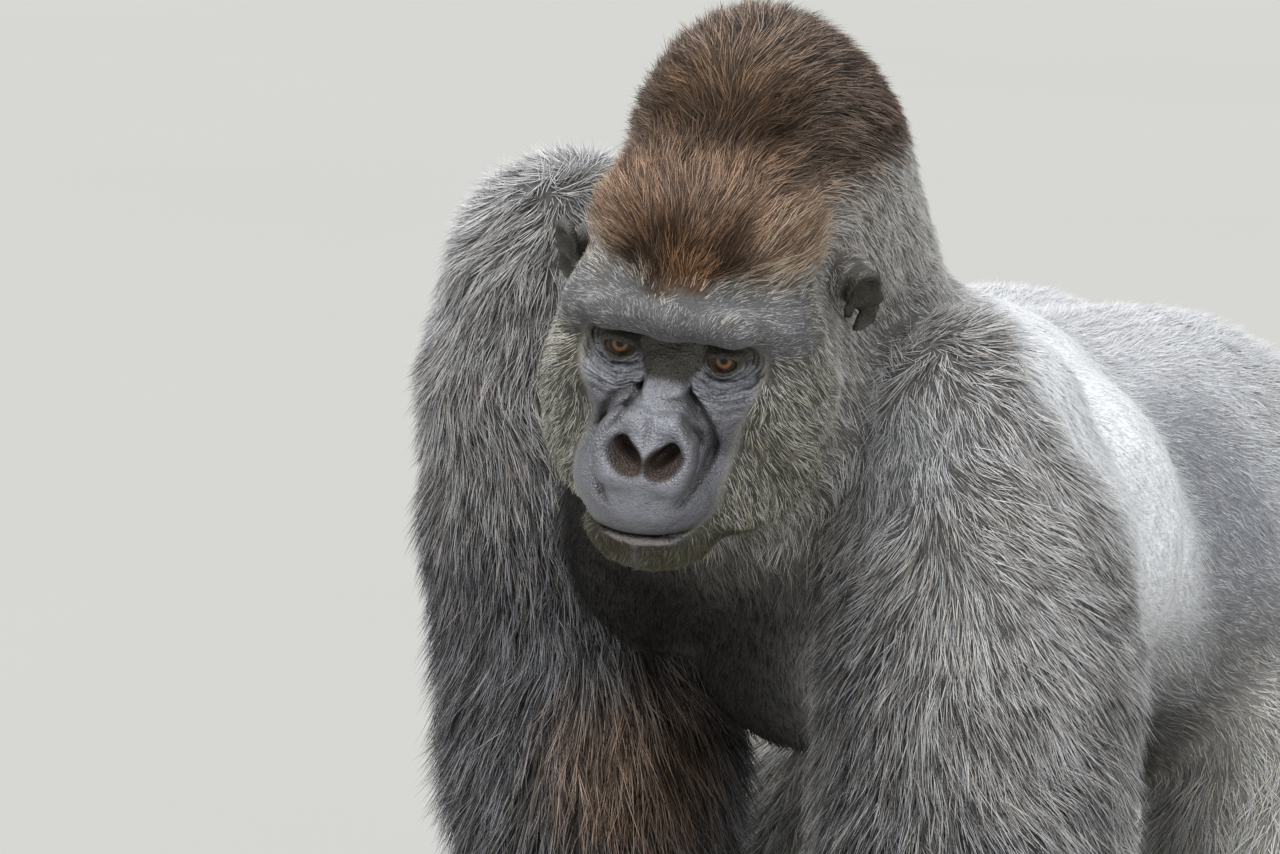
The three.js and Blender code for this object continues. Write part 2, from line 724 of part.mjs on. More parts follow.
function addArm(side) {
  const s = side === "left" ? 1 : -1;
  const { shoulder, elbow, wrist } = ARMS[side];
  const limb = within(wholeBody, nape, ...armPlanes(side));
  const elbowCut = across(shoulder, elbow, wrist);
  const wristCut = [v(wrist.x, wrist.y, wrist.z + 24), v(0, -0.3, -1)];
  const thumbCut = [v(wrist.x - s * 47, wrist.y - 14, 90), v(-s, -0.1, 0.25)];
  const thumbTop = [v(0, 0, 104), v(0, 0, -1)];
  add(`upper_arm_${side}`, side === "left" ? "grey" : "dark", within(limb, flip(elbowCut)));
  add(`forearm_${side}`, "dark", within(limb, elbowCut, flip(wristCut)));
  const hand = within(handOf(ARMS[side]), wristCut);
  add(`hand_${side}`, "face", outside(hand, thumbCut, thumbTop));
  add(`thumb_${side}`, "face", within(hand, thumbCut, thumbTop));
}

function addLeg(side) {
  const { hip, knee, ankle } = LEGS[side];
  const limb = outside(within(wholeBody, ...legPlanes(side)), ...armPlanes(side));
  const kneeCut = [knee, ankle.clone().sub(hip)];
  const ankleCut = [v(ankle.x, ankle.y, ankle.z + 22), v(0, 0.2, -1)];
  add(`thigh_${side}`, "hip", within(limb, flip(kneeCut)));
  add(`shank_${side}`, "dark", within(limb, kneeCut, flip(ankleCut)));
  add(`foot_${side}`, "face", within(footOf(LEGS[side]), ankleCut));
}

addHead();
addTrunk();
for (const side of ["left", "right"]) {
  addArm(side);
  addLeg(side);
}

// The frame's origin: under the middle of the whole, on the floor.
const bounds = new THREE.Box3().setFromObject(group);
const middle = bounds.getCenter(new THREE.Vector3());
for (const mesh of group.children) mesh.geometry.translate(-middle.x, -middle.y, -bounds.min.z);

export default group;
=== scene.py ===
"""A silverback gorilla's skin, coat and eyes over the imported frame, in a plain pale studio.

The skin is the zero surface of one smooth field of ellipsoids and tapered bars, in millimetres in
the body's frame: x to the animal's left, y backwards, z up, the middle of the shoulders at
x = y = 0. The head's forms are given in its own frame, which starts between the pupils.
"""

import math
from concurrent.futures import ThreadPoolExecutor

import bpy
import numpy as np
import openvdb
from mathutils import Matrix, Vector


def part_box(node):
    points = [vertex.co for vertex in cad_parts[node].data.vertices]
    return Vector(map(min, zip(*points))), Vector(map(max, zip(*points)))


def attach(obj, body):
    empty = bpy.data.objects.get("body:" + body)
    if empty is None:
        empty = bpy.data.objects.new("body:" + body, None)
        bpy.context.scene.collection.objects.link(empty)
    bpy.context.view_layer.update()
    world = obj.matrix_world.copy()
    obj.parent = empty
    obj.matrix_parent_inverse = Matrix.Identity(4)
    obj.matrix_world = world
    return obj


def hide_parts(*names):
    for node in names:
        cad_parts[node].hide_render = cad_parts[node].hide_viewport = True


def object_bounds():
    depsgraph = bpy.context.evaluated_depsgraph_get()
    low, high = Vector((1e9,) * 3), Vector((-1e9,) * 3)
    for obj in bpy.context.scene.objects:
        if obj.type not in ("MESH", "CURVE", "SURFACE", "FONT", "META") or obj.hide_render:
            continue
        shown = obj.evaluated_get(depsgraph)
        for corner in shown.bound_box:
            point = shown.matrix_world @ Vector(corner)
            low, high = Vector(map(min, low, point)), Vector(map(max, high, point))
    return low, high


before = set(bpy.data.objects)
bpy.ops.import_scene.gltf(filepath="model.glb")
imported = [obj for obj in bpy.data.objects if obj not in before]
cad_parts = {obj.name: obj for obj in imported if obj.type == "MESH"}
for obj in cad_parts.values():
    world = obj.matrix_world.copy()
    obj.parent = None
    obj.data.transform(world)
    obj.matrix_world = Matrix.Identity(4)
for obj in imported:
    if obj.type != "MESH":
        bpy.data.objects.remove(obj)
CAD_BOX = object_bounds()
RNG = np.random.default_rng(7)

# ------------------------------------------------------------------ frames


def turn_matrix(x=0.0, y=0.0, z=0.0):
    """The rotation Rz Ry Rx, from degrees."""
    a, b, c = (math.radians(angle) for angle in (x, y, z))
    rx = np.array([[1, 0, 0], [0, math.cos(a), -math.sin(a)], [0, math.sin(a), math.cos(a)]])
    ry = np.array([[math.cos(b), 0, math.sin(b)], [0, 1, 0], [-math.sin(b), 0, math.cos(b)]])
    rz = np.array([[math.cos(c), -math.sin(c), 0], [math.sin(c), math.cos(c), 0], [0, 0, 1]])
    return rz @ ry @ rx


HEAD_TURN = turn_matrix(z=21) @ turn_matrix(x=19) @ turn_matrix(y=8.5)
EYES = np.array([127.0, -281.0, 890.0])
EYEBALL = np.array([35.0, 6.0, -2.0])
EYE_RADIUS = 12.5


def node_middle(name):
    """The middle of a node's box, in the row's millimetres."""
    low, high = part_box(name)
    return np.array((low + high) / 2) * 1000


def row_shift():
    """From the body's frame to the row's, in millimetres: it brings the eyeballs to the CAD's."""
    middle = (node_middle("eye_left") + node_middle("eye_right")) / 2
    return middle - (EYES + HEAD_TURN @ (EYEBALL * [0, 1, 1]))


SHIFT = row_shift()


def to_row(points):
    """Body millimetres to the row's metres."""
    return (points + SHIFT) / 1000


def on_head(*point):
    """A head point in the body's frame."""
    return np.asarray(point, float) @ HEAD_TURN.T + EYES


def in_head(points):
    """Body points in the head's frame."""
    return (points - EYES.astype(np.float32)) @ HEAD_TURN.astype(np.float32)


# ------------------------------------------------------------------ shapes as signed distances


def length_of(vectors):
    return np.sqrt(np.einsum("ij,ij->i", vectors, vectors))


def unit(vectors):
    return vectors / np.maximum(length_of(vectors), 1e-6)[:, None]


def ellipsoid(centre, half, turn=(0, 0, 0)):
    rotation = turn_matrix(*turn).astype(np.float32)
    centre = np.asarray(centre, np.float32)
    half = np.asarray(half, np.float32)

    def distance(p):
        q = ((p - centre) @ rotation) / half
        out = length_of(q)
        slope = length_of(q / half)
        return out * (out - 1) / np.maximum(slope, 1e-6)

    return distance


def bar(start, end, r1, r2):
    """A tapered bar with round ends."""
    start = np.asarray(start, np.float32)
    d = np.asarray(end, np.float32) - start
    l2 = float(d @ d)
    rr = r1 - r2
    a2 = l2 - rr * rr

    def distance(p):
        q = p - start
        along = q @ d
        beyond = along - l2
        side = q * l2 - along[:, None] * d
        x2 = np.einsum("ij,ij->i", side, side)
        y2 = along * along * l2
        z2 = beyond * beyond * l2
        k = math.copysign(rr * rr, rr) * x2
        out = (np.sqrt(x2 * (a2 / l2)) + along * rr) / l2 - r1
        at_end = np.sign(beyond) * a2 * z2 > k
        at_start = ~at_end & (np.sign(along) * a2 * y2 < k)
        out[at_end] = np.sqrt(x2[at_end] + z2[at_end]) / l2 - r2
        out[at_start] = np.sqrt(x2[at_start] + y2[at_start]) / l2 - r1
        return out

    return distance


def blended(a, b, k):
    h = np.maximum(k - np.abs(a - b), 0) / k
    return np.minimum(a, b) - h * h * (k / 4)


def melt(k, *shapes):
    """Several shapes melted into each other over about k."""

    def distance(p):
        d = shapes[0](p)
        for shape in shapes[1:]:
            d = blended(d, shape(p), k)
        return d

    return distance


def dent(k, shape, *dents):
    """The shape with dents taken out of it, their rims rounded over about k."""

    def distance(p):
        d = shape(p)
        for cut in dents:
            d = -blended(-d, cut(p), k)
        return d

    return distance


def chain(k, *stations):
    """Tapered bars end to end through (point, radius) stations."""
    pairs = zip(stations, stations[1:])
    return melt(k, *(bar(a, b, ra, rb) for (a, ra), (b, rb) in pairs))


def ring(k, centre, across, up, radius, first=0.0, last=360.0, steps=12):
    """A round bar bent into an ellipse, or an arc of one, spanned by two half axes."""
    turns = np.radians(np.linspace(first, last, steps + 1))
    spots = [np.add(centre, math.cos(t) * np.array(across) + math.sin(t) * np.array(up)) for t in turns]
    return chain(k, *((spot, radius) for spot in spots))


def widened(share, shape):
    """A shape made wider about the plane x = 0."""
    scale = np.array([1 / share, 1, 1], np.float32)
    return lambda p: shape(p * scale)


def placed(centre, turn, shape):
    """A shape given in a frame of its own, set down at a place with a turn."""
    rotation = turn_matrix(*turn).astype(np.float32)
    centre = np.asarray(centre, np.float32)
    return lambda p: shape((p - centre) @ rotation)


def near(centre, radius, shape, margin=60.0):
    """The same shape, worked out only round about a ball that holds it."""
    centre = np.asarray(centre, np.float32)

    def distance(p):
        d = length_of(p - centre) - radius
        close = d < margin
        if close.any():
            d[close] = shape(p[close])
        return d

    return distance


def both(make):
    """A thing made for the left side and for the right one."""
    return make(1), make(-1)


def ramp(x, low, high):
    """0 below low, 1 above high, smooth between; high may be the lower one."""
    t = np.clip((x - low) / (high - low), 0, 1)
    return t * t * (3 - 2 * t)


# ------------------------------------------------------------------ the head, in its own frame


def skull_form():
    dome = ellipsoid((2, 172, 66), (86, 111, 104))
    forehead = ellipsoid((0, 78, 50), (84, 78, 70))
    cheeks = both(lambda s: ellipsoid((s * 50, 68, -50), (50, 74, 82), (0, 0, s * 8)))
    jaw = ellipsoid((0, 56, -94), (82, 78, 58))
    parting = ellipsoid((8, 58, 142), (46, 16, 15), (-20, 0, 0))
    return melt(16, dent(16, melt(26, dome, forehead), parting), melt(26, *cheeks, jaw))


def face_form():
    inner_brow = both(lambda s: bar((0, -9, 28), (s * 42, -4, 25), 13.5, 13))
    outer_brow = both(lambda s: bar((s * 42, -4, 25), (s * 67, 22, 13), 13, 12))
    temples = both(lambda s: ellipsoid((s * 60, 50, 14), (26, 34, 30)))
    cheekbones = both(lambda s: ellipsoid((s * 51, 25, -24), (30, 33, 19), (0, 0, s * 25)))
    beside_nose = both(lambda s: ellipsoid((s * 30, 10, -36), (22, 28, 26)))
    bridge = both(lambda s: bar((s * 5, 12, 2), (s * 7.5, -15, -34), 8, 14.5))
    corners = both(lambda s: bar((s * 17, 10, 2), (s * 21, 3, -26), 9, 9))
    saddle = bar((0, -16, -34), (0, -25, -44), 11, 11)
    muzzle = ellipsoid((-8, 0, -87), (52.5, 55, 33), (8, 0, 0))
    chin = ellipsoid((-7, 4, -126), (45, 46, 28))
    under_lip = bar((-29, -30, -121.5), (13, -34, -120), 7, 7)
    brow = melt(9, *inner_brow, *outer_brow)
    middle = melt(9, *cheekbones, *beside_nose, *corners)
    mouth_part = melt(5, melt(18, muzzle, chin), under_lip)
    upper = melt(14, melt(22, skull_form(), *temples), brow)
    return melt(9, melt(12, upper, middle), mouth_part, melt(4, *bridge, saddle))


def nostril_rim(s):
    return ring(6, (s * 15.8 - 2, -41, -52), (s * 11.4, 3, 8.5), (s * -8, 7, 15), 8.2)


def nose_form():
    """Two thick rims side by side on a shield that narrows downwards: a heart from the front."""
    shield = ellipsoid((-2, -36, -67), (30, 18, 26))
    tip = bar((-2, -42, -72), (-2, -45, -84), 14, 10)
    return melt(6, melt(5, *both(nostril_rim)), melt(8, shield, tip))


def nostril(s):
    """The wide basin inside a rim, and the hole that leads on from it."""
    turn = (0, s * -42, 0)
    basin = ellipsoid((s * 13.8 - 1.5, -57.5, -53), (15.5, 14, 9.8), turn)
    hole = ellipsoid((s * 12.8 - 1.5, -48, -53), (11.5, 17, 5.6), turn)
    return basin, hole


def lids(s):
    """The lids' shell over the eyeball, and the slanted slit between them."""
    middle = EYEBALL * [s, 1, 1]
    shell = ellipsoid(middle, (15.2, 14.4, 14.2))
    slit = ellipsoid(middle + [s * -0.5, -11, 0.6], (10.2, 14, 4.6), (0, s * -8, 0))
    return shell, slit


EAR_MIDDLE = (98, 103, 9)


def ear(s):
    """A small round ear: a plate, the rolled rim round it, a bowl, and the flap in front."""
    plate = ellipsoid((0, 0, 0), (4.5, 13, 22))
    rim = ring(3, (3, 0.5, 1), (0, 12.5, 0), (0, 0, 21.5), 3.3, -75, 215)
    bowl = ellipsoid((6.5, -2, -2), (8, 8.5, 14))
    inner_fold = ring(2, (2.5, 1, -2), (0, 6.5, 0), (0, 0, 13), 1.9, -60, 70, 6)
    flap = ellipsoid((3, -10, -7), (5.5, 4, 7))
    lobe = ellipsoid((1, 0, -22), (4, 7, 6))
    root = bar((-24, 8, -2), (-3, 0, -1), 15, 9)
    one = melt(3, dent(3, melt(2, plate, rim), bowl), inner_fold, flap, lobe, root)
    left = placed(EAR_MIDDLE, (4, 8, -46), one)
    flip = np.array([s, 1, 1], np.float32)
    return near(EAR_MIDDLE * flip, 36, lambda p: left(p * flip), 30)


def from_ear(q):
    """How far head points lie from the ears' middles, seen from the side."""
    return length_of(q * [0, 1, 1] - [0, *EAR_MIDDLE[1:]])


def stroke(depth, width, *points, fade=9.0, crossing=False, mirrored=True, middle=0.0):
    """A line drawn on the face from the front, (x, z) by (x, z): a soft groove.

    It runs out towards its ends; a crossing one starts on the middle line and keeps its depth
    there. Mirrored ones lie on both halves of the face, about the line x = middle.
    """
    line = np.asarray(points, np.float32)
    lengths = np.sqrt(((line[1:] - line[:-1]) ** 2).sum(1))
    starts = np.concatenate([[0], np.cumsum(lengths)])

    def groove(flat):
        if mirrored:
            flat = np.stack([np.abs(flat[:, 0] - middle), flat[:, 1]], 1)
        nearest = np.full(len(flat), 1e9, np.float32)
        place = np.zeros(len(flat), np.float32)
        for a, b, start, length in zip(line, line[1:], starts, lengths):
            d = b - a
            t = np.clip(((flat - a) @ d) / (d @ d), 0, 1)
            off = flat - a - t[:, None] * d
            distance = np.einsum("ij,ij->i", off, off)
            place = np.where(distance < nearest, start + t * length, place)
            nearest = np.minimum(nearest, distance)
        share = ramp(place, starts[-1], starts[-1] - fade)
        if not crossing:
            share = share * ramp(place, 0, fade)
        return depth * share * np.exp(-nearest / width**2)

    return groove


MOUTH = ((-51, -119.5), (-40, -117), (-26, -115.5), (-8, -114.5), (8, -114), (20, -113), (29, -111.5))
SHIELD_EDGE = (  # from the bridge round the nose and down to the upper lip
    (4, -30), (11, -25), (20, -24), (29, -30), (36, -42), (38, -56), (34, -72), (25, -87), (16, -94)
)
FOLDS = (
    stroke(4.2, 1.6, *MOUTH, mirrored=False),
    stroke(1.6, 4.0, (0, -130), (24, -128), crossing=True, middle=-7),  # under the lower lip
    stroke(4.4, 3.0, *SHIELD_EDGE, fade=14, middle=-4),
    stroke(2.4, 2.0, (-2, -29), (-2, -49), fade=5, mirrored=False),  # the notch between the two rims
    stroke(3.0, 1.9, (12, -9), (16, -21), (22, -32), (29, -43)),  # beside the bridge
    stroke(1.3, 1.4, (19, 3), (27, 8.5), (38, 9.5), (50, 4)),  # the upper lid's crease
    stroke(2.0, 1.4, (16, -10), (25, -13), (36, -14), (47, -10), (54, -3)),  # the bags
    stroke(2.3, 1.5, (18, -13), (27, -18), (38, -19.5), (51, -15), (61, -6)),
    stroke(2.1, 1.7, (22, -18), (31, -24), (44, -26), (58, -20)),
    stroke(1.5, 1.8, (30, -28), (40, -32), (54, -29)),
    stroke(1.0, 1.6, (0, -18), (13, -20), crossing=True),  # across the top of the bridge
    stroke(0.9, 1.6, (0, -24), (14, -26), crossing=True),
)


def creases(q):
    """How deep the folds of the face run at points in the head's frame, in millimetres."""
    flat = q[:, [0, 2]]
    return sum(fold(flat) for fold in FOLDS) * ramp(q[:, 1], 60, 30)


def wrinkles(q):
    """How far a point lies out from the eye's slit, in millimetres, and how wrinkled the skin is."""
    x = np.abs(q[:, 0]) - 35
    z = q[:, 2] - 1
    out = np.sqrt((x / 1.35) ** 2 + z**2)
    below = ramp(z - 0.25 * x, 2, -6) * ramp(out, 7, 10) * ramp(out, 32, 24)
    return out, below * ramp(np.abs(q[:, 0]), 14, 20) * face_share(q)


FACE_EDGE = (  # height, and how far the bare face reaches from its middle
    (-122, 0), (-120, 16), (-117, 29), (-111, 37), (-101, 46), (-90, 50), (-76, 50), (-60, 49),
    (-44, 49), (-28, 55), (-10, 61), (4, 60), (16, 52),
)


def face_share(q):
    """1 on the bare face, 0 in the coat round it."""
    heights, reach = zip(*FACE_EDGE)
    middle = -8 * ramp(q[:, 2], -45, -85)
    over = np.abs(q[:, 0] - middle) - np.interp(q[:, 2], heights, reach)
    return ramp(over, 5, -4) * ramp(q[:, 2], 19, 13) * ramp(q[:, 1], 66, 42)


def head_coat_depth(q):
    """How far the head's skin lies under the coat's outline."""
    bare = face_share(q)
    brow = ramp(q[:, 2], 50, 34) * ramp(q[:, 1], 60, 20)
    low = ramp(q[:, 2], 40, 0)
    ears = ramp(np.abs(q[:, 0]), 88, 96) * ramp(from_ear(q), 44, 26)
    return (9 - 4 * low) * (1 - bare) * (1 - 0.8 * brow) * (1 - ears)


def head_skin():
    """The whole head: eye sockets, nose, lids, folds and ears, with the eyes and nostrils opened."""
    shells, openings = zip(*both(lids))
    hollows = [part for pair in both(nostril) for part in pair]
    sockets = both(lambda s: ellipsoid((s * 42.5, -6, 0), (23, 12.5, 13)))
    form = dent(9, face_form(), *sockets)
    nose = near((-2, -38, -58), 46, nose_form(), 40)
    wide_lids = near((0, 6, -2), 54, melt(1, *shells), 40)
    slits = near((0, -5, -1), 54, melt(1, *openings), 20)
    nostrils = near((-2, -50, -53), 36, melt(2, *hollows), 20)
    ears = both(ear)

    def distance(q):
        d = blended(form(q), nose(q), 5)
        d = blended(d, wide_lids(q), 4)
        front = q[:, 1] < 60
        if front.any():
            d[front] += creases(q[front])
        d += head_coat_depth(q)
        d = -blended(-d, slits(q), 1.5)
        d = -blended(-d, nostrils(q), 4)
        for one in ears:
            d = blended(d, one(q), 5)
        return d

    return distance


# ------------------------------------------------------------------ the body

ARMS = {
    "left": ((174, -22, 818), (178, -28, 430), (184, -165, 150), 1.04),
    "right": ((-192, 13, 904), (-196, 52, 490), (-186, -20, 150), 1.0),
}
LEGS = {
    "left": ((112, 478, 655), (212, 275, 400), (188, 440, 92), 14),
    "right": ((-112, 478, 655), (-220, 260, 402), (-200, 400, 92), -16),
}
SIDES = {"left": 1, "right": -1}


def on_line(a, b, share):
    """The point that lies a share of the way from a to b."""
    return np.add(a, np.subtract(b, a) * share)


def arm_form(side):
    s = SIDES[side]
    shoulder, elbow, wrist, girth = ARMS[side]

    def on(share, x, y, z=0):
        spot = on_line(shoulder, elbow, share) if share < 1 else on_line(elbow, wrist, share - 1)
        return spot + [s * x, y, z]

    return chain(
        10,
        (on(0, -4, 0, -4), 96),
        (on(0.2, 10, 2), 108 * girth),
        (on(0.4, 8, 4), 112 * girth),
        (on(0.8, 0, 2), 108 * girth),
        (on(1.1, 0, 4), 92),
        (on(1.45, 0, 6), 84),
        (on(2, 0, 0), 44),
    )


def hand_form(side):
    """A hand that stands on the backs of its middle finger bones, its thumb hanging beside it."""
    s = SIDES[side]
    wrist = ARMS[side][2]

    def at(x, y, z):
        return (wrist[0] + s * x, wrist[1] + y, z)

    palm = melt(
        14,
        bar(at(-16, 0, 150), at(-34, -8, 92), 34, 22),
        bar(at(16, 0, 150), at(34, -8, 92), 34, 22),
        bar(at(0, 0, 150), at(0, -12, 90), 36, 24),
    )
    fingers = []
    for x, reach in zip((-45, -15, 15, 45), (0.86, 1, 0.98, 0.82)):
        knuckle = (at(x, -14, 84), 18.5)
        bend = (at(x * 1.08, -20 - 44 * reach, 13.5), 17)
        tip = (at(x * 1.02, -12, 12), 14.5)
        fingers.append(chain(4, knuckle, bend, tip, (at(x, 4, 30), 12.5)))
    thumb = bar(at(-54, 0, 118), at(-66, -24, 66), 15, 11.5)
    whole = melt(6, melt(9, palm, thumb), *fingers)
    return near((wrist[0], wrist[1] - 10, 80), 130, whole)


def leg_form(side):
    s = SIDES[side]
    hip, knee, ankle, _ = LEGS[side]
    mid = on_line(hip, knee, 0.5)
    calf = on_line(knee, ankle, 0.4)
    return melt(
        45,
        bar(hip, knee, 140, 84),
        ellipsoid(mid + [s * 8, 30, -10], (92, 118, 128)),
        ellipsoid(np.add(hip, [s * 6, 62, -20]), (98, 92, 122)),
        bar(knee, calf, 80, 74),
        bar(calf, ankle, 74, 46),
    )


def foot_form(side):
    """Heel, sole, four toes side by side and a great toe set apart like a thumb."""
    s = SIDES[side]
    ankle, out = LEGS[side][2:]
    turn = math.radians(out)

    def at(x, forward, z):
        return (
            ankle[0] + s * x * math.cos(turn) + forward * math.sin(turn),
            ankle[1] - forward * math.cos(turn) + s * x * math.sin(turn),
            z,
        )

    sole = melt(
        22,
        bar(ankle, at(0, -34, 34), 44, 33),
        bar(at(0, -34, 29), at(4, 96, 25), 32, 28),
        bar(at(-4, 30, 44), at(-18, 104, 27), 34, 24),
        bar(ankle, at(2, 52, 46), 40, 32),
        bar(at(14, 70, 23), at(34, 110, 18), 25, 20),
    )
    toes = []
    for i, (x, length) in enumerate(zip((-12, 13, 36, 56), (74, 78, 70, 58))):
        start = 112 - i * 6
        knuckle = (at(x, start, 22), 16.5)
        bend = (at(x * 1.06, start + length * 0.55, 25), 15)
        toes.append(chain(4, knuckle, bend, (at(x * 1.04, start + length, 11), 13)))
    great = chain(6, (at(-22, 42, 24), 24), (at(-56, 96, 20), 19), (at(-66, 136, 14), 15.5))
    whole = melt(7, sole, great, *toes)
    return near(at(0, 50, 50), 170, whole)


def trunk_form():
    spine = (
        ((0, 10, 796), 130),
        ((0, 150, 732), 160),
        ((0, 300, 694), 170),
        ((0, 440, 688), 152),
        ((0, 545, 662), 112),
    )
    loins = both(lambda s: ellipsoid((s * 60, 320, 753 - s * 4), (92, 190, 124), (-3, 0, 0)))
    flanks = both(lambda s: ellipsoid((s * 132, 88, 752 - s * 15), (114, 128, 128)))
    left_blade = ellipsoid((84, 72, 826), (80, 132, 76), (0, 16, 0))
    right_blade = ellipsoid((-104, 72, 862), (86, 132, 78), (0, -12, 0))
    breasts = both(lambda s: ellipsoid((s * 70, -34, 742), (78, 68, 92)))
    sternum = ellipsoid((34, -14, 686), (92, 66, 96))
    front = melt(24, left_blade, right_blade, *breasts, sternum)
    return melt(24, widened(1.14, chain(14, *spine)), *loins, *flanks, front)


def neck_form():
    return melt(
        20,
        bar((90, -118, 1000), (4, 36, 846), 93, 108),
        bar(on_head(0, 110, -20), (40, -40, 800), 80, 100),
    )


def each_side(kind, make):
    """A limb's part made for both sides, by name."""
    return {f"{kind}_{side}": make(side) for side in SIDES}


HEAD = head_skin()


PARTS = {
    "head": near(on_head(0, 90, -20), 225, lambda p: HEAD(in_head(p))),
    "neck": neck_form(),
    "trunk": trunk_form(),
    **each_side("arm", arm_form),
    **each_side("hand", hand_form),
    **each_side("leg", leg_form),
    **each_side("foot", foot_form),
}


def part_distances(p):
    return {name: shape(p) for name, shape in PARTS.items()}


def limb_share(p, joints):
    """How far along a limb a point lies: 0 at the first joint, 1 at the second, 2 at the third."""
    nearest = np.full(len(p), np.inf, np.float32)
    share = np.zeros(len(p), np.float32)
    for i, (a, b) in enumerate(zip(joints, joints[1:])):
        start = np.asarray(a, np.float32)
        d = np.subtract(b, a).astype(np.float32)
        t = np.clip(((p - start) @ d) / (d @ d), 0, 1)
        off = length_of(p - start - t[:, None] * d)
        share = np.where(off < nearest, t + i, share)
        nearest = np.minimum(nearest, off)
    return share


COAT_DEPTHS = {"head": 0, "neck": 9, "trunk": 5, "arm": 13, "leg": 9, "hand": 0, "foot": 0}
LIMBS = {"arm": ARMS, "leg": LEGS}


def coat_depth(p, parts):
    """How far the skin lies under the coat's outline, away from the head, which sees to its own."""
    nearest = np.minimum.reduce(list(parts.values()))
    total = np.zeros(len(p), np.float32)
    weights = np.zeros(len(p), np.float32)
    for name, d in parts.items():
        kind, _, side = name.partition("_")
        depth = COAT_DEPTHS[kind]
        if kind in LIMBS:
            depth = depth * ramp(limb_share(p, LIMBS[kind][side][:3]), 2.0, 1.55)
        w = np.exp(-(d - nearest) / 14)
        total += w * depth
        weights += w
    return total / weights


def skin_field(p):
    """The whole skin: below 0 inside it. The hands and feet rest on the floor on small flats."""
    parts = part_distances(p)
    d = blended(parts["trunk"], parts["neck"], 28)
    arms = [blended(parts[f"arm_{side}"], parts[f"hand_{side}"], 16) for side in SIDES]
    legs = [blended(parts[f"leg_{side}"], parts[f"foot_{side}"], 26) for side in SIDES]
    limbs = arms[0]
    for limb in (legs[0], arms[1], legs[1]):
        limbs = blended(limbs, limb, 20)
    d = blended(blended(d, limbs, 24), parts["head"], 20) + coat_depth(p, parts)
    return np.maximum(d, 0.2 - p[:, 2])


# ------------------------------------------------------------------ from field to mesh


CORES = 4


def in_stretches(function, points, size):
    """What a function makes of many points, a stretch of them at a time on every core."""
    stretches = [points[i : i + size] for i in range(0, len(points), size)]
    with ThreadPoolExecutor(CORES) as pool:
        return list(pool.map(function, stretches))


def worked(function, points):
    return np.concatenate(in_stretches(function, points, 40000))


class FineNearTheFace:
    """A grid whose cells are small about the face and grow with distance from it."""

    middle = np.array([0, -12, -48], np.float32)
    cell = 2.0
    even = 33.0  # cells from the middle over which they keep one size
    growth = 0.118

    def to_grid(self, p):
        q = in_head(p) - self.middle
        r = length_of(q)
        a, b = self.cell, self.growth
        over = np.maximum(r - a * self.even, 0)
        far = (np.sqrt(a * a + 4 * b * over) - a) / (2 * b)
        steps = np.where(over > 0, self.even + far, r / a)
        return q * (steps / np.maximum(r, 1e-6))[:, None]

    def to_body(self, g):
        steps = length_of(g)
        far = np.maximum(steps - self.even, 0)
        r = self.cell * steps + self.growth * far * far
        q = g * (r / np.maximum(steps, 1e-6))[:, None]
        return (q + self.middle) @ HEAD_TURN.T.astype(np.float32) + EYES.astype(np.float32)

    def size_at(self, g):
        return self.cell + 2 * self.growth * np.maximum(length_of(g) - self.even, 0)


BLOCK = 8
HALF_DIAGONAL = 0.87  # of a block, as a share of its side
STEEPEST = 1.7  # how far the field may outrun true distance
SPARE = 8  # millimetres
AWAY = 50.0  # what the grid holds where the surface is not near


def cells_of(*counts):
    """Every cell of a box, by its three whole numbers."""
    return np.stack(np.meshgrid(*(np.arange(n) for n in counts), indexing="ij"), -1).reshape(-1, 3)


def grid_range(grid):
    """The first cell and the number of blocks that hold the animal and 20 mm round it."""
    low, high = (np.array(corner) * 1000 - SHIFT for corner in CAD_BOX)
    steps = [np.linspace(low[i] - 20, high[i] + 20, 9) for i in range(3)]
    spots = np.stack(np.meshgrid(*steps, indexing="ij"), -1).reshape(-1, 3).astype(np.float32)
    inside = grid.to_grid(spots)
    first = np.floor(inside.min(0)).astype(int) - BLOCK
    blocks = np.ceil((inside.max(0) - first) / BLOCK).astype(int) + 1
    return first, blocks


def meshed(field, grid):
    """The zero surface as points and four-cornered faces, sampled only in blocks that it crosses."""
    first, blocks = grid_range(grid)
    corner = cells_of(*blocks)
    middles = (first + corner * BLOCK + (BLOCK - 1) / 2).astype(np.float32)
    d = worked(field, grid.to_body(middles))
    crossed = np.abs(d) < grid.size_at(middles) * (BLOCK * HALF_DIAGONAL) * STEEPEST + SPARE
    coarse = np.where(crossed, 1, np.sign(d) * AWAY).astype(np.float32).reshape(blocks)
    values = np.repeat(np.repeat(np.repeat(coarse, BLOCK, 0), BLOCK, 1), BLOCK, 2)
    spots = (corner[crossed][:, None] * BLOCK + cells_of(BLOCK, BLOCK, BLOCK)).reshape(-1, 3)
    found = worked(field, grid.to_body((first + spots).astype(np.float32)))
    values[spots[:, 0], spots[:, 1], spots[:, 2]] = found
    vdb = openvdb.FloatGrid(AWAY)
    vdb.copyFromArray(values)
    points, quads = vdb.convertToQuads(0.0)
    return grid.to_body(points.astype(np.float32) + first.astype(np.float32)), quads[:, ::-1]


def gradient(field, p, step=0.5):
    slopes = []
    for shift in np.eye(3, dtype=np.float32) * step:
        slopes.append(worked(field, p + shift) - worked(field, p - shift))
    return np.stack(slopes, 1) / (2 * step)


def settled(field, p, limit=1.5):
    """The points moved onto the surface, by no more than a small limit."""
    for _ in range(2):
        slope = gradient(field, p)
        d = worked(field, p)
        step = -d / np.maximum(np.einsum("ij,ij->i", slope, slope), 0.05)
        move = slope * step[:, None]
        size = np.maximum(length_of(move), 1e-6)
        p = p + move * np.minimum(1, limit / size)[:, None]
    return p


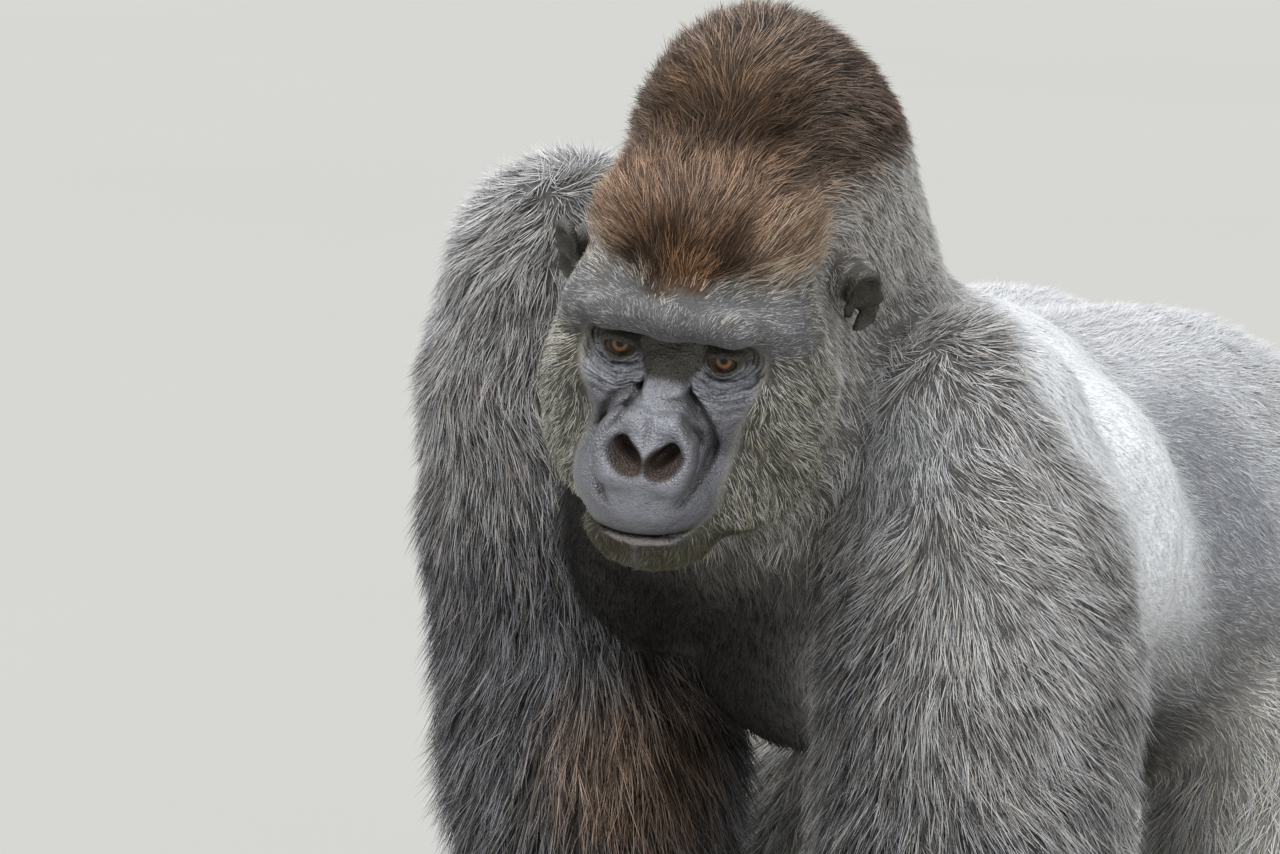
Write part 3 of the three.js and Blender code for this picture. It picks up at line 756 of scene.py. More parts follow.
def added(name, data):
    """A new object for some data, put into the scene."""
    made = bpy.data.objects.new(name, data)
    bpy.context.scene.collection.objects.link(made)
    return made


def aim(made, towards, axis="Z"):
    """Turn an object so that one of its own axes points in a direction."""
    made.rotation_mode = "QUATERNION"
    made.rotation_quaternion = Vector(towards).to_track_quat(axis, "Y")


def new_mesh(name, points, faces, uv=None, attributes=None):
    """An object from arrays: points in metres and faces that all have the same number of corners."""
    mesh = bpy.data.meshes.new(name)
    count, corners = faces.shape
    mesh.vertices.add(len(points))
    mesh.vertices.foreach_set("co", points.astype(np.float32).ravel())
    mesh.loops.add(count * corners)
    mesh.loops.foreach_set("vertex_index", faces.astype(np.int32).ravel())
    mesh.polygons.add(count)
    mesh.polygons.foreach_set("loop_start", np.arange(0, count * corners, corners, dtype=np.int32))
    mesh.polygons.foreach_set("use_smooth", np.full(count, True))
    mesh.update(calc_edges=True)
    for key, values in (attributes or {}).items():
        kind, slot = ("FLOAT_COLOR", "color") if values.ndim == 2 else ("FLOAT", "value")
        layer = mesh.attributes.new(key, kind, "POINT")
        layer.data.foreach_set(slot, values.astype(np.float32).ravel())
    if uv is not None:
        layer = mesh.uv_layers.new(name="OFBake")
        layer.data.foreach_set("uv", uv.astype(np.float32).ravel())
    return added(name, mesh)


# ------------------------------------------------------------------ markings, shared by skin and coat


def rgb(red, green, blue):
    """Screen values, 0 to 255, as scene-linear ones."""
    c = np.array([red, green, blue]) / 255
    return np.where(c <= 0.04045, c / 12.92, ((c + 0.055) / 1.055) ** 2.4).astype(np.float32)


BARE = rgb(88, 88, 95)
# painted shade: the dark laid under the brows, round the eyes, in the creases, over the mouth's line and
# down in the ears' bowls
PAINTED_SHADE = rgb(50, 47, 38)
LIP = rgb(138, 124, 121)
SEAM = rgb(40, 36, 30)
# painted highlight, over the nose rims' own paler grey skin
RIM_HIGHLIGHT = rgb(126, 127, 136)
CROWN_SIDE = rgb(92, 79, 70)
# painted shade down in the nostrils' holes
NOSTRIL_SHADE = rgb(58, 47, 41)
EAR = rgb(78, 75, 68)
HANDS = rgb(62, 60, 62)
HAIRLINE = rgb(158, 116, 80)
FOREHEAD = (  # height in the head's frame, and the colour there, from the brows up over the crown
    (42, rgb(86, 68, 55)),
    # the dark band at 52 is painted shade in the crease at the hairline
    (52, rgb(64, 48, 36)),
    (74, rgb(94, 72, 55)),
    (93, rgb(124, 102, 87)),
    (106, rgb(110, 90, 75)),
    (116, rgb(58, 44, 32)),
    (134, rgb(86, 67, 51)),
    (158, rgb(112, 92, 76)),
)
TEMPLE = rgb(148, 122, 103)
CREST = rgb(116, 102, 92)
NAPE = rgb(196, 188, 178)
BROW = rgb(133, 132, 133)
CHEEK = rgb(160, 156, 143)
CHIN = rgb(84, 81, 68)
NECK = rgb(226, 220, 212)
# painted shade under the chin and jaw, down the front of the neck and between the neck and the left arm
THROAT_SHADE = rgb(64, 61, 56)
SHOULDER = rgb(196, 192, 189)
SHOULDER_TOP = rgb(112, 106, 101)
WHORL = rgb(222, 218, 215)
ARM = rgb(152, 150, 148)
DARK_ARM = rgb(105, 104, 106)
WARM = rgb(122, 101, 84)
FOREARM = rgb(92, 91, 93)
SILVER = rgb(250, 252, 255)
HOLLOW = rgb(176, 178, 184)
BACK = rgb(226, 227, 231)
FLANK = rgb(160, 159, 158)
# painted shade under the body: low on the belly and on the legs' inner sides
UNDERSIDE_SHADE = rgb(52, 50, 48)
CHEST = rgb(18, 15, 13)
HIP = rgb(212, 209, 204)
THIGH = rgb(246, 241, 232)
SHANK = rgb(104, 101, 100)


def between(a, b, share):
    return a * (1 - share) + b * share


def mixed(a, b, share):
    """Colours or directions, a row each, between a and b by each row's share."""
    return between(a, b, np.asarray(share)[:, None])


def layered(rows, *layers):
    """Colours or directions with others laid over them in turn, each by its share."""
    for over, share in layers:
        rows = mixed(rows, over, share)
    return rows


def heading(p, x, y, z):
    """A direction for each point, from numbers or arrays."""
    blank = np.zeros(len(p), np.float32)
    return np.stack([x + blank, y + blank, z + blank], 1)


class Waves:
    """Smooth wandering values between -1 and 1, several at once, from crossing plane waves."""

    def __init__(self, wavelength, channels=1, count=7):
        way = RNG.normal(size=(channels, count, 3))
        way /= np.linalg.norm(way, axis=2, keepdims=True)
        stretch = RNG.uniform(0.7, 1.5, (channels, count, 1))
        self.way = (way * stretch * (2 * math.pi / wavelength)).astype(np.float32)
        self.phase = RNG.uniform(0, 2 * math.pi, (channels, count)).astype(np.float32)

    def __call__(self, p):
        found = []
        for way, phase in zip(self.way, self.phase):
            found.append(np.sin(p @ way.T + phase).sum(1) / math.sqrt(len(phase)))
        return np.stack(found, 1)


def coat_of(colour, length, lift, gap, way, tip=1.35, bare=0.0, vary=0.3):
    """One part's coat at n points, each value an array of n rows or one value for all.

    Lengths and the gap between roots are in millimetres, the lift is in degrees off the skin, and
    way is a direction in the body's frame. tip is how much paler a tuft's tip is; vary is how far
    one tuft's tone stands from the next and its root from its tip.
    """
    n = len(way)
    numbers = {"tip": tip, "length": length, "lift": lift, "gap": gap, "bare": bare, "vary": vary}
    columns = {key: np.broadcast_to(np.asarray(value, np.float32), (n,)) for key, value in numbers.items()}
    rows = {"colour": np.broadcast_to(colour, (n, 3)), "way": way}
    return columns | {key: value.astype(np.float32) for key, value in rows.items()}


def banded(value, bands):
    """A colour from a list of (value, colour), between the two that lie nearest."""
    places = [place for place, _ in bands]
    return np.stack([np.interp(value, places, [c[i] for _, c in bands]) for i in range(3)], 1)


def ball_share(p, centre, radius):
    """1 at a spot, 0 beyond a radius round it."""
    return ramp(length_of(p - np.asarray(centre, np.float32)), radius, 0.3 * radius)


def face_colours(q):
    """The bare face, with painted shade about the eyes, in the creases and in the nostrils, and painted
    highlight on the bridge, the bags under the eyes and the nose's rims, whose skin is also paler.
    """
    x, y, z = q.T
    far = np.abs(x)
    near_middle = ramp(far, 26, 14)
    under_brow = ramp(z, -7 - 11 * near_middle, 1 - 12 * near_middle)
    out, below = wrinkles(q)
    round_eye = ramp(out, 13, 8)
    outer = ramp(far, 50, 60) * ramp(z, -22, -6)
    beside = 0.3 * ramp(far, 40, 50) * ramp(z, -34, -42) * ramp(z, -66, -56)
    # painted shade: darker under the brows, round the eyes, at the sockets' outer sides, beside the nose
    # and along the creases
    dark = np.maximum(under_brow, round_eye) + outer + beside + 0.15 * creases(q)
    inside = np.minimum(*(np.minimum(a(q), b(q)) for a, b in both(nostril)))
    rims = ramp(length_of((q - [-3, -40, -64]) * [1, 0.6, 0.8]), 36, 24) * ramp(inside, 0, 3)
    bridge = ramp(far, 20, 11) * ramp(z, -46, -36) * ramp(z, -10, -20)
    # painted highlight on the bridge and the bags under the eyes, and on the nose's rims over their own
    # paler skin
    highlit = np.maximum(np.maximum(0.75 * rims, 0.9 * bridge), 0.8 * below)
    # the nostrils' holes get painted shade
    colour = layered(BARE, (RIM_HIGHLIGHT, highlit), (PAINTED_SHADE, np.clip(dark, 0, 1)), (NOSTRIL_SHADE, ramp(inside, 2.6, 0.0)))
    return layered(colour, *lip_layers(x, y, z))


def lip_layers(x, y, z):
    """The shade over the mouth's line, the pinkish lower lip, and the line itself."""
    line_x, line_z = zip(*MOUTH)
    under = z - np.interp(x, line_x, line_z)
    off = np.abs(x + 10)
    return (
        (PAINTED_SHADE, 0.6 * ramp(under, 9, 3) * ramp(under, 0, 2)),
        (LIP, 0.8 * ramp(np.abs(under + 5), 4, 2) * ramp(off, 34, 20)),
        (SEAM, ramp(np.abs(under), 2.4, 1.0) * ramp(off, 44, 36) * ramp(y, 20, 0)),
    )


def ear_share(q):
    """1 on the ears, 0 elsewhere on the head."""
    return ramp(np.abs(q[:, 0]), 80, 87) * ramp(from_ear(q), 33, 26)


def ear_colours(q):
    """Painted shade down in the ear's bowl, darker than on its rim."""
    deep = ramp(length_of((q * [0, 1, 1] - [0, 101, 8]) * [0, 1, 0.7]), 16, 11)
    return mixed(EAR, PAINTED_SHADE, 0.9 * deep)


ragged = Waves(30)


def crown_colours(q, back):
    """Brown from the brows up and over the crown, greyer at the temples and down the nape."""
    x, _, z = q.T
    far = np.abs(x)
    return layered(
        banded(z, FOREHEAD),
        (TEMPLE, ramp(far, 28, 50) * ramp(z, 98, 80)),
        (CROWN_SIDE, ramp(far, 34, 62) * ramp(z, 80, 96)),
        (HAIRLINE, 0.6 * ramp(length_of(q - [3, 4, 49]), 24, 10)),
        (CREST, back),
        (NAPE, back * ramp(z, 100, 40)),
    )


def head_way(q, brow, chin):
    """Swept back over the crown, hanging on the cheeks, rising on the brow and falling from the chin."""
    x, y, z = q.T
    swept = heading(q, 0.014 * x, 1.0, 0.6 * ramp(y, 120, 40))
    hanging = heading(q, 0.3 * np.sign(x), 0.6, -1.0)
    rising = heading(q, 0.025 * x, 0.3, 0.8 - 0.5 * ramp(np.abs(x), 30, 70))
    under = heading(q, 0.01 * x, -0.1, -1.0)
    way = layered(hanging, (swept, ramp(z, -10, 44)), (rising, brow), (under, chin))
    return way @ HEAD_TURN.T


def head_coat(p):
    q = in_head(p)
    x, y, z = q.T
    far = np.abs(x)
    bare = face_share(q)
    ears = ear_share(q)
    naked = np.maximum(bare, ears)
    stubble = ramp(z, -92, -106) * bare
    edge = 5 * ragged(p)[:, 0]
    brow = ramp(z + edge, 51, 35) * ramp(y, 64, 26) * ramp(z, -4, 6)
    above = ramp(z + 0.2 * y + edge - 9 * ramp(far, 12, 45), 28, 54)
    back = ramp(y + 0.3 * z, 150, 225)
    chin = ramp(z, -108, -122) * ramp(far, 78, 48)
    colour = layered(
        CHEEK,
        (crown_colours(q, back), above),
        (NAPE, ramp(y, 96, 120) * (1 - above)),
        (BROW, brow),
        (CHIN, chin),
        # painted shade under the jaw's back corners
        (THROAT_SHADE, 0.5 * ramp(far, 72, 92) * ramp(z, -50, -90)),
        (face_colours(q), bare),
        (ear_colours(q), ears),
    )
    length = between(12 + 5 * ramp(y, 40, 110), 20 + 4 * back, above)
    length = between(between(length, 6, brow), 8, chin)
    length = between(length, 3, 0.85 * naked)
    length = length * (1 - 0.5 * ramp(from_ear(q), 50, 32) * ramp(far, 70, 84))
    lift = between(15 + 7 * above + 8 * above * ramp(y, 100, 170), 16, brow)
    gap = between(between(1.66 + 0.2 * back, 1.25, brow), 1.35, chin)
    gap = gap * (1 + (30 - 29 * stubble) * ramp(naked, 0.55, 0.95))
    vary = between(0.75 - 0.15 * above * (1 - back), 0.5, np.maximum(brow, bare))
    vary = between(vary, 0.4, chin)
    return coat_of(colour, length, lift, gap, head_way(q, brow, chin), 1.4, naked, vary)


def silver_share(p):
    """The saddle: it starts on a slant behind the shoulders and ends before the loins."""
    far = np.abs(p[:, 0])
    start = 0.51 * (866 - p[:, 2]) - 58 + 1.14 * np.maximum(244 - far, 0)
    end = 238 - 0.25 * (p[:, 2] - 760)
    return ramp(p[:, 1] - start, -18, 26) * ramp(p[:, 1], end, end - 38) * ramp(p[:, 2], 600, 740)


def neck_coat(p):
    q = in_head(p)
    front = ramp(p[:, 2] + 0.8 * p[:, 1], 715, 610)
    colour = layered(
        NECK,
        (CREST, ramp(np.abs(q[:, 0] - 20), 75, 45) * ramp(q[:, 1], 120, 190)),
        (CROWN_SIDE, ramp(q[:, 2], 50, 95)),
        (SILVER, silver_share(p) * ramp(p[:, 2], 960, 900)),
        # painted shade under the chin, down the front of the neck
        (THROAT_SHADE, front),
        (ear_colours(q), ear_share(q)),
    )
    way = heading(p, 0.1 * np.sign(p[:, 0]), 0.75, 0.2 * ramp(p[:, 2], 900, 1060) - 0.9)
    return coat_of(colour, 14 + 12 * front, 18, 1.95, way, 1.4, 0.0, 0.7)


def trunk_coat(p):
    x, y, z = p.T
    far = np.abs(x)
    low = ramp(z, 640, 560)
    below = ramp(z, 710, 650) * ramp(far, 160, 110) * ramp(y, 180, 80)
    front = np.maximum(ramp(y, -10, -60) * ramp(z, 900, 850), below)
    band = silver_share(p) * (1 - below)
    hollow = ramp(far, 105, 145) * ramp(y, 200, 235) * ramp(y, 340, 280) * ramp(z, 600, 660)
    rear = ramp(y, 330, 420)
    colour = layered(
        BACK,
        (HOLLOW, hollow * ramp(z, 850, 800)),
        (HIP, rear * ramp(z, 840, 780)),
        (FLANK, ramp(z, 720, 640)),
        (SILVER, band),
        # painted shade low on the belly
        (UNDERSIDE_SHADE, low),
        (CHEST, front),
    )
    side = ramp(far, 60, 170)
    back_way = heading(p, 0.15 * np.sign(x) * side, 1.0, -0.2 - 0.5 * side)
    way = mixed(back_way, heading(p, 0, 0.2, -1), front)
    short = np.maximum(band, 0.8 * hollow)
    length = between(14 + 6 * rear, 9, short)
    lift = 24 - 9 * short + 2 * rear
    gap = 2.28 + 1.6 * front + 0.5 * low
    bare = 0.9 * front * ramp(far, 120, 80)
    vary = 0.46 - 0.34 * band - 0.14 * ramp(z, 760, 840) * (1 - band)
    return coat_of(colour, length, lift, gap, way, 1.25, bare, vary)


def left_upper_arm(p, share, whorl):
    """Grey, with a pale whorl on the shoulder, a dark cap over it and a pale streak behind; a painted pool
    of light on the shoulder's front, where the head's shadow falls, and painted shade on its inner side by
    the neck.
    """
    return layered(
        SHOULDER,
        (ARM, ramp(share, 0.3, 0.75)),
        (DARK_ARM, 0.7 * ramp(p[:, 1], -60, -120) * ramp(share, 0.12, 0.3)),
        # painted light: a pale spot on the shoulder's front, where the head casts its shadow
        (SILVER, 0.7 * ball_share(p, (186, -125, 812), 70)),
        (WHORL, 0.9 * ball_share(p, whorl + [10, 25, -20], 95)),
        (SHOULDER, 0.7 * ball_share(p, (256, -115, 640), 95)),
        # painted shade on the arm's inner front, beside the neck
        (THROAT_SHADE, 0.6 * ramp(p[:, 0], 165, 110) * ramp(p[:, 1], -60, -100)),
        (SHOULDER_TOP, 0.4 * ball_share(p, whorl + [-22, 0, 32], 55)),
    )


def right_upper_arm(p, share, _):
    """Darker, and warmer in the crook of the elbow."""
    warm = 0.8 * ball_share(p, np.add(ARMS["right"][1], [95, -66, 90]), 100)
    return layered(SHOULDER, (DARK_ARM, 0.35 + 0.65 * ramp(share, 0.15, 0.5)), (WARM, warm))


UPPER_ARM = {  # its colours, how silver its back gets, and how long its coat is
    "left": (left_upper_arm, 1, 1),
    "right": (right_upper_arm, 0.3, 1.2),
}


def arm_coat(side):
    s = SIDES[side]
    upper, silver, longer = UPPER_ARM[side]
    joints = ARMS[side][:3]
    whorl = np.array(joints[0], np.float32) + [s * 75, -93, -70]

    def coat(p):
        share = limb_share(p, joints)
        pale = silver_share(p) * ramp(share, 0.8, 0.4) * silver
        naked = ramp(share, 1.93, 2.0)
        forearm = ramp(share, 0.85, 1.3)
        colour = layered(upper(p, share, whorl), (SILVER, pale), (FOREARM, forearm), (HANDS, naked))
        out = unit(p - whorl) * ramp(p[:, 2], whorl[2] + 40, whorl[2] - 40)[:, None]
        down = heading(p, 0.26 * s, 0.5 - 0.3 * share, -1)
        fringe = heading(p, 0.5 * s, 0.9, 0.35)
        way = layered(down + 1.1 * out, (down, ramp(share, 0.3, 0.7)), (fringe, ramp(share, 0.95, 1.3)))
        length = (17 + 17 * ramp(share, 0.15, 0.9) + 10 * ramp(share, 1.0, 1.4)) * longer
        length = between(length, 9, pale) * ramp(share, 2.12, 1.7) + 5
        gap = (2.17 + 0.68 * ramp(share, 0.3, 1.2)) * (1 + 5 * naked)
        lift = 22 + 6 * ramp(share, 0.2, 1.0)
        return coat_of(colour, length, lift, gap, way, 1.4, naked, 0.8 - 0.66 * pale)

    return coat


def leg_coat(side):
    s = SIDES[side]
    joints = LEGS[side][:3]

    def coat(p):
        share = limb_share(p, joints)
        naked = ramp(share, 1.9, 2.0)
        colour = layered(
            HIP,
            (THIGH, ramp(share, 0.1, 0.5)),
            (SHANK, ramp(share, 0.8, 1.4)),
            # painted shade on the leg's inner side, under the body
            (UNDERSIDE_SHADE, 0.9 * ramp(p[:, 0] * s, 110, 40)),
            (HANDS, naked),
        )
        way = heading(p, 0.15 * s, 0.45, -1)
        length = (17 + 9 * ramp(share, 0, 1)) * ramp(share, 2.1, 1.6) + 5
        gap = (2.67 + 0.32 * share) * (1 + 5 * naked)
        return coat_of(colour, length, 22, gap, way, 1.4, naked, 0.64)

    return coat


def bare_coat(p):
    """The palms, soles, fingers and toes: naked, with short hair higher up on the hand or foot."""
    above = ramp(p[:, 2], 70, 110)
    way = heading(p, 0, -1, -0.3)
    return coat_of(HANDS, 5 + 6 * above, 18, 40 - 34 * above, way, 1.2, 1 - 0.4 * above)


COATS = {
    "head": head_coat,
    "neck": neck_coat,
    "trunk": trunk_coat,
    **each_side("arm", arm_coat),
    **each_side("hand", lambda side: bare_coat),
    **each_side("leg", leg_coat),
    **each_side("foot", lambda side: bare_coat),
}
PART_NAMES = list(COATS)


def markings(p):
    """The coat at each point, blended where two parts of the body meet."""
    parts = part_distances(p)
    nearest = np.minimum.reduce(list(parts.values()))
    total = {}
    weights = np.zeros(len(p), np.float32)
    for name in PART_NAMES:
        w = np.exp(-(parts[name] - nearest) / 12)
        touched = w > 0.004
        weights += np.where(touched, w, 0)
        for key, value in COATS[name](p[touched]).items():
            if key not in total:
                total[key] = np.zeros((len(p), *value.shape[1:]), np.float32)
            share = w[touched] if value.ndim == 1 else w[touched][:, None]
            total[key][touched] += value * share
    for key, value in total.items():
        total[key] = value / (weights if value.ndim == 1 else weights[:, None])
    total["part"] = np.stack([parts[name] for name in PART_NAMES], 1).argmin(1)
    return total


# ------------------------------------------------------------------ coat


def crossed(a, b):
    return np.cross(a, b).astype(np.float32)


class Skin:
    """The skin's triangles with its markings at each point, in body millimetres."""

    def __init__(self, points, quads):
        self.points = points
        self.normals = unit(gradient(skin_field, points))
        self.triangles = np.concatenate([quads[:, [0, 1, 2]], quads[:, [0, 2, 3]]])
        found = in_stretches(markings, points, 20000)
        self.coat = {key: np.concatenate([part[key] for part in found]) for key in found[0]}

    def scattered(self):
        """Root places: which triangle each is in and its share of the three corners."""
        a, b, c = (self.points[self.triangles[:, i]] for i in range(3))
        area = length_of(np.cross(b - a, c - a)) / 2
        crowd = (1 / self.coat["gap"] ** 2)[self.triangles].mean(1)
        summed = np.cumsum(area * crowd)
        picks = np.arange(int(summed[-1])) + RNG.uniform(0, 1, int(summed[-1]))
        chosen = np.minimum(np.searchsorted(summed, picks), len(area) - 1)
        u = np.sqrt(RNG.uniform(0, 1, len(chosen)))
        w = RNG.uniform(0, 1, len(chosen))
        return chosen, np.stack([1 - u, u * (1 - w), u * w], 1).astype(np.float32)

    def at(self, values, chosen, shares):
        """Values given at the skin's points, at places within its triangles."""
        corners = values[self.triangles[chosen]]
        if values.ndim == 1:
            return (corners * shares).sum(1)
        return np.einsum("ijk,ij->ik", corners, shares)


GROUPS = {  # the parts that a coat piece covers, and its slot
    "coat_head": (("head",), "crown"),
    "coat_neck": (("neck",), "grey"),
    "coat_trunk": (("trunk",), "silver"),
    "coat_arm_left": (("arm_left", "hand_left"), "grey"),
    "coat_arm_right": (("arm_right", "hand_right"), "dark"),
    "coat_leg_left": (("leg_left", "foot_left"), "hip"),
    "coat_leg_right": (("leg_right", "foot_right"), "hip"),
}
TUFTS_PER_PIECE = 48000
TUFT_FACES = np.array([[0, 3, 2], [2, 3, 1], [1, 3, 0], [0, 2, 1]])  # of left, right, ridge and tip
PATCH = 0.003  # across each tuft's place in the unwrap
PATCH_CORNERS = np.array([(-0.5, -0.5), (0.5, -0.5), (0, -0.4), (0, 0.5)]) * PATCH
CLUMP = 10.0  # millimetres across the clumps that tufts draw together in
CLUMP_DRAW = 0.42  # how far towards its clump's middle a long tuft's tip is drawn
ROOT_DEPTH = 0.8  # millimetres under the skin
PALE_TUFTS = 0.36  # the share of tufts that are paler than the rest

wander = Waves(70, 3)
ripple = Waves(19, 3)
patches = Waves(45, 2)

HASH = np.array([73856093, 19349663, 83492791])
CLUMP_KINDS = 65536
CLUMPS = np.random.default_rng(11).uniform(0, 1, (CLUMP_KINDS, 7)).astype(np.float32)


def clump_of(p):
    """For each root, its clump's middle and four random numbers of the clump's own."""
    cell = np.floor(p / CLUMP).astype(np.int64)
    own = CLUMPS[np.bitwise_xor.reduce(cell * HASH, axis=1) & (CLUMP_KINDS - 1)]
    middle = (cell + own[:, :3]) * CLUMP
    return middle.astype(np.float32), own[:, 3:]


def unrolled(p, group):
    """Where roots lie on the skin when each limb is slit and rolled out flat, and the head as a ball."""
    if group == "coat_head":
        q = unit(in_head(p) - np.array([0, 80, -20], np.float32))
        return np.arctan2(q[:, 0], q[:, 1]), q[:, 2]
    if group == "coat_trunk":
        return np.arctan2(p[:, 0], 690 - p[:, 2]), p[:, 1]
    if group == "coat_neck":
        q = p - np.array([60, -60, 930], np.float32)
        return np.arctan2(q[:, 0], q[:, 1] - q[:, 2]), q[:, 2] - q[:, 1]
    middle = p.mean(0)
    return np.arctan2(p[:, 0] - middle[0], p[:, 1] - middle[1]), p[:, 2]


def unwrap_places(p, group):
    """The same places spread evenly over the unit square, so that no two tufts share a patch."""
    around, along = unrolled(p, group)
    rows = max(1, int(math.sqrt(len(p))))
    order = np.argsort(along, kind="stable")
    row = np.empty(len(p), np.int64)
    row[order] = np.arange(len(p)) * rows // len(p)
    order = np.lexsort((around, row))
    first = np.searchsorted(row[order], np.arange(rows))
    count = np.diff(np.append(first, len(p)))
    column = np.empty(len(p))
    column[order] = (np.arange(len(p)) - first[row[order]] + 0.5) / count[row[order]]
    return np.stack([column, (row + 0.5) / rows], 1)


def flattened(way, normal):
    """The part of each direction that lies along the skin."""
    return way - normal * np.einsum("ij,ij->i", way, normal)[:, None]


def tuft_axes(p, normal, coat, own):
    """Each tuft's side, its direction with the lift, and the direction over its back."""
    way = unit(flattened(coat["way"] + 0.28 * wander(p) + 0.22 * ripple(p), normal))
    sway = (RNG.normal(0, 0.16, len(p)) + 0.3 * (own[:, 0] - 0.5))[:, None]
    way = unit(way + crossed(way, normal) * sway)
    side = crossed(way, normal)
    lift = np.radians(coat["lift"]) * RNG.uniform(0.55, 1.25, len(p)) * (0.8 + 0.4 * own[:, 1])
    rise = np.sin(lift)[:, None]
    flat = np.cos(lift)[:, None]
    return side, way * flat + normal * rise, normal * flat - way * rise


def tuft_tints(p, coat, own):
    """Dark at the root and pale at the tip, some tufts far paler and some redder than the rest."""
    vary = coat["vary"]
    shade = np.exp(vary * RNG.normal(0, 0.7, len(p))) * (1 + 0.9 * vary * (own[:, 3] - 0.5))
    shade = shade * (1 + 0.3 * vary * patches(p)[:, 0])
    pale = np.where(RNG.uniform(0, 1, len(p)) < PALE_TUFTS, 1 + 1.5 * vary, 1 - 0.62 * vary)
    warmth = RNG.normal(0, 0.06, len(p))[:, None] * np.array([1, 0.15, -1])
    colour = coat["colour"] * np.clip(shade * pale, 0.15, 3.0)[:, None] * (1 + warmth)
    root = coat["colour"] * np.clip(1 - 1.2 * vary, 0.15, 1)[:, None]
    end = np.clip(colour * coat["tip"][:, None], 0, 0.92)
    tint = np.stack([root, root, between(root, colour, 0.6), end], 1).reshape(-1, 3)
    return np.concatenate([tint, np.ones((len(tint), 1))], 1)


def tuft_points(p, normal, length, middle, axes):
    """A small three-cornered root just under the skin and one tip, drawn towards its clump's middle."""
    side, along, over = axes
    width = 0.56 + 0.01 * length
    root = p - normal * ROOT_DEPTH
    draw = CLUMP_DRAW * flattened(middle - p, normal) * np.minimum(length / 20, 1)[:, None]
    tip = root + along * length[:, None] + draw
    half = side * (0.5 * width)[:, None]
    ridge = root + over * (0.55 * width)[:, None]
    spots = np.stack([root + half, root - half, ridge, tip], 1).reshape(-1, 3)
    spots[:, 2] = np.maximum(spots[:, 2], 0.3)
    return spots


def tuft_mesh(name, p, normal, coat, group):
    """Closed four-sided spikes, each from a small three-cornered root to one tip."""
    middle, own = clump_of(p)
    axes = tuft_axes(p, normal, coat, own)
    length = coat["length"] * RNG.uniform(0.65, 1.15, len(p)) * (0.82 + 0.36 * own[:, 2])
    spots = tuft_points(p, normal, length, middle, axes)
    faces = (4 * np.arange(len(p))[:, None, None] + TUFT_FACES).reshape(-1, 3)
    place = unwrap_places(p, group)
    uv = (place[:, None] + PATCH_CORNERS[TUFT_FACES.ravel()]).reshape(-1, 2)
    tint = tuft_tints(p, coat, own)
    piece = new_mesh(name, to_row(spots), faces, uv=uv, attributes={"tint": tint})
    soften(piece, normal, *axes[1:])
    return piece


def soften(piece, normal, along, over):
    """Normals between the tuft's own and the skin's, as a coat's hairs share the light."""
    body = unit(normal + 0.35 * over + 0.1 * along)
    across = 0.45 * crossed(along, over)
    own = np.stack([body - across, body + across, body, body], 1).reshape(-1, 3)
    piece.data.normals_split_custom_set_from_vertices(unit(own).tolist())


def grow_coat(skin, finish):
    chosen, shares = skin.scattered()
    p = skin.at(skin.points, chosen, shares)
    normal = unit(skin.at(skin.normals, chosen, shares))
    coat = {key: skin.at(value, chosen, shares) for key, value in skin.coat.items() if key != "part"}
    part = skin.coat["part"][skin.triangles[chosen, 0]]
    for group, (members, slot) in GROUPS.items():
        wanted = np.flatnonzero(np.isin(part, [PART_NAMES.index(m) for m in members]))
        wanted = wanted[np.argsort(p[wanted, 2], kind="stable")]
        pieces = max(1, math.ceil(len(wanted) / TUFTS_PER_PIECE))
        for i, these in enumerate(np.array_split(wanted, pieces)):
            name = f"{group}_{i + 1}" if pieces > 1 else group
            own = {key: value[these] for key, value in coat.items()}
            piece = tuft_mesh(name, p[these], normal[these], own, group)
            piece.data.materials.append(finish)
            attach(piece, "root")


# ------------------------------------------------------------------ materials


class Shader:
    """A Principled material with a few short ways to add nodes to it."""

    def __init__(self, name):
        self.material = bpy.data.materials.new(name)
        self.material.use_nodes = True
        self.tree = self.material.node_tree
        self.principled = self.tree.nodes["Principled BSDF"]

    def feed(self, socket, value):
        """Give a socket a value of its own, or link another node's output to it."""
        if isinstance(value, bpy.types.NodeSocket):
            self.tree.links.new(value, socket)
        else:
            socket.default_value = value

    def set(self, **values):
        for key, value in values.items():
            self.feed(self.principled.inputs[key.replace("_", " ")], value)

    def node(self, kind, inputs=None, **settings):
        made = self.tree.nodes.new("ShaderNode" + kind)
        for key, value in settings.items():
            setattr(made, key, value)
        for key, value in (inputs or {}).items():
            self.feed(made.inputs[key], value)
        return made

    def attribute(self, name, output="Fac"):
        return self.node("Attribute", attribute_name=name).outputs[output]

    def place(self, scale=(1, 1, 1)):
        here = self.node("TexCoord").outputs["Object"]
        return self.node("Mapping", {"Scale": scale, "Vector": here}).outputs["Vector"]

    def noise(self, scale, detail=3.0, vector=None):
        where = self.place() if vector is None else vector
        return self.node("TexNoise", {"Scale": scale, "Detail": detail, "Vector": where}).outputs["Fac"]

    def ranged(self, value, low, high):
        return self.node("MapRange", {"To Min": low, "To Max": high, "Value": value}).outputs["Result"]

    def maths(self, operation, a, b=0.0):
        return self.node("Math", {0: a, 1: b}, operation=operation).outputs[0]

    def times(self, a, b):
        return self.maths("MULTIPLY", a, b)

    def blend(self, share, a, b):
        """Between two numbers or outputs by a share."""
        return self.node("Mix", {0: share, 2: a, 3: b}).outputs[0]

    def shaded(self, colour, value):
        """A colour times a number."""
        return self.node("VectorMath", {0: colour, "Scale": value}, operation="SCALE").outputs[0]

    def bump(self, height, strength, distance, under=None):
        made = self.node("Bump", {"Height": height, "Strength": strength, "Distance": distance})
        if under is not None:
            self.feed(made.inputs["Normal"], under)
        return made.outputs["Normal"]


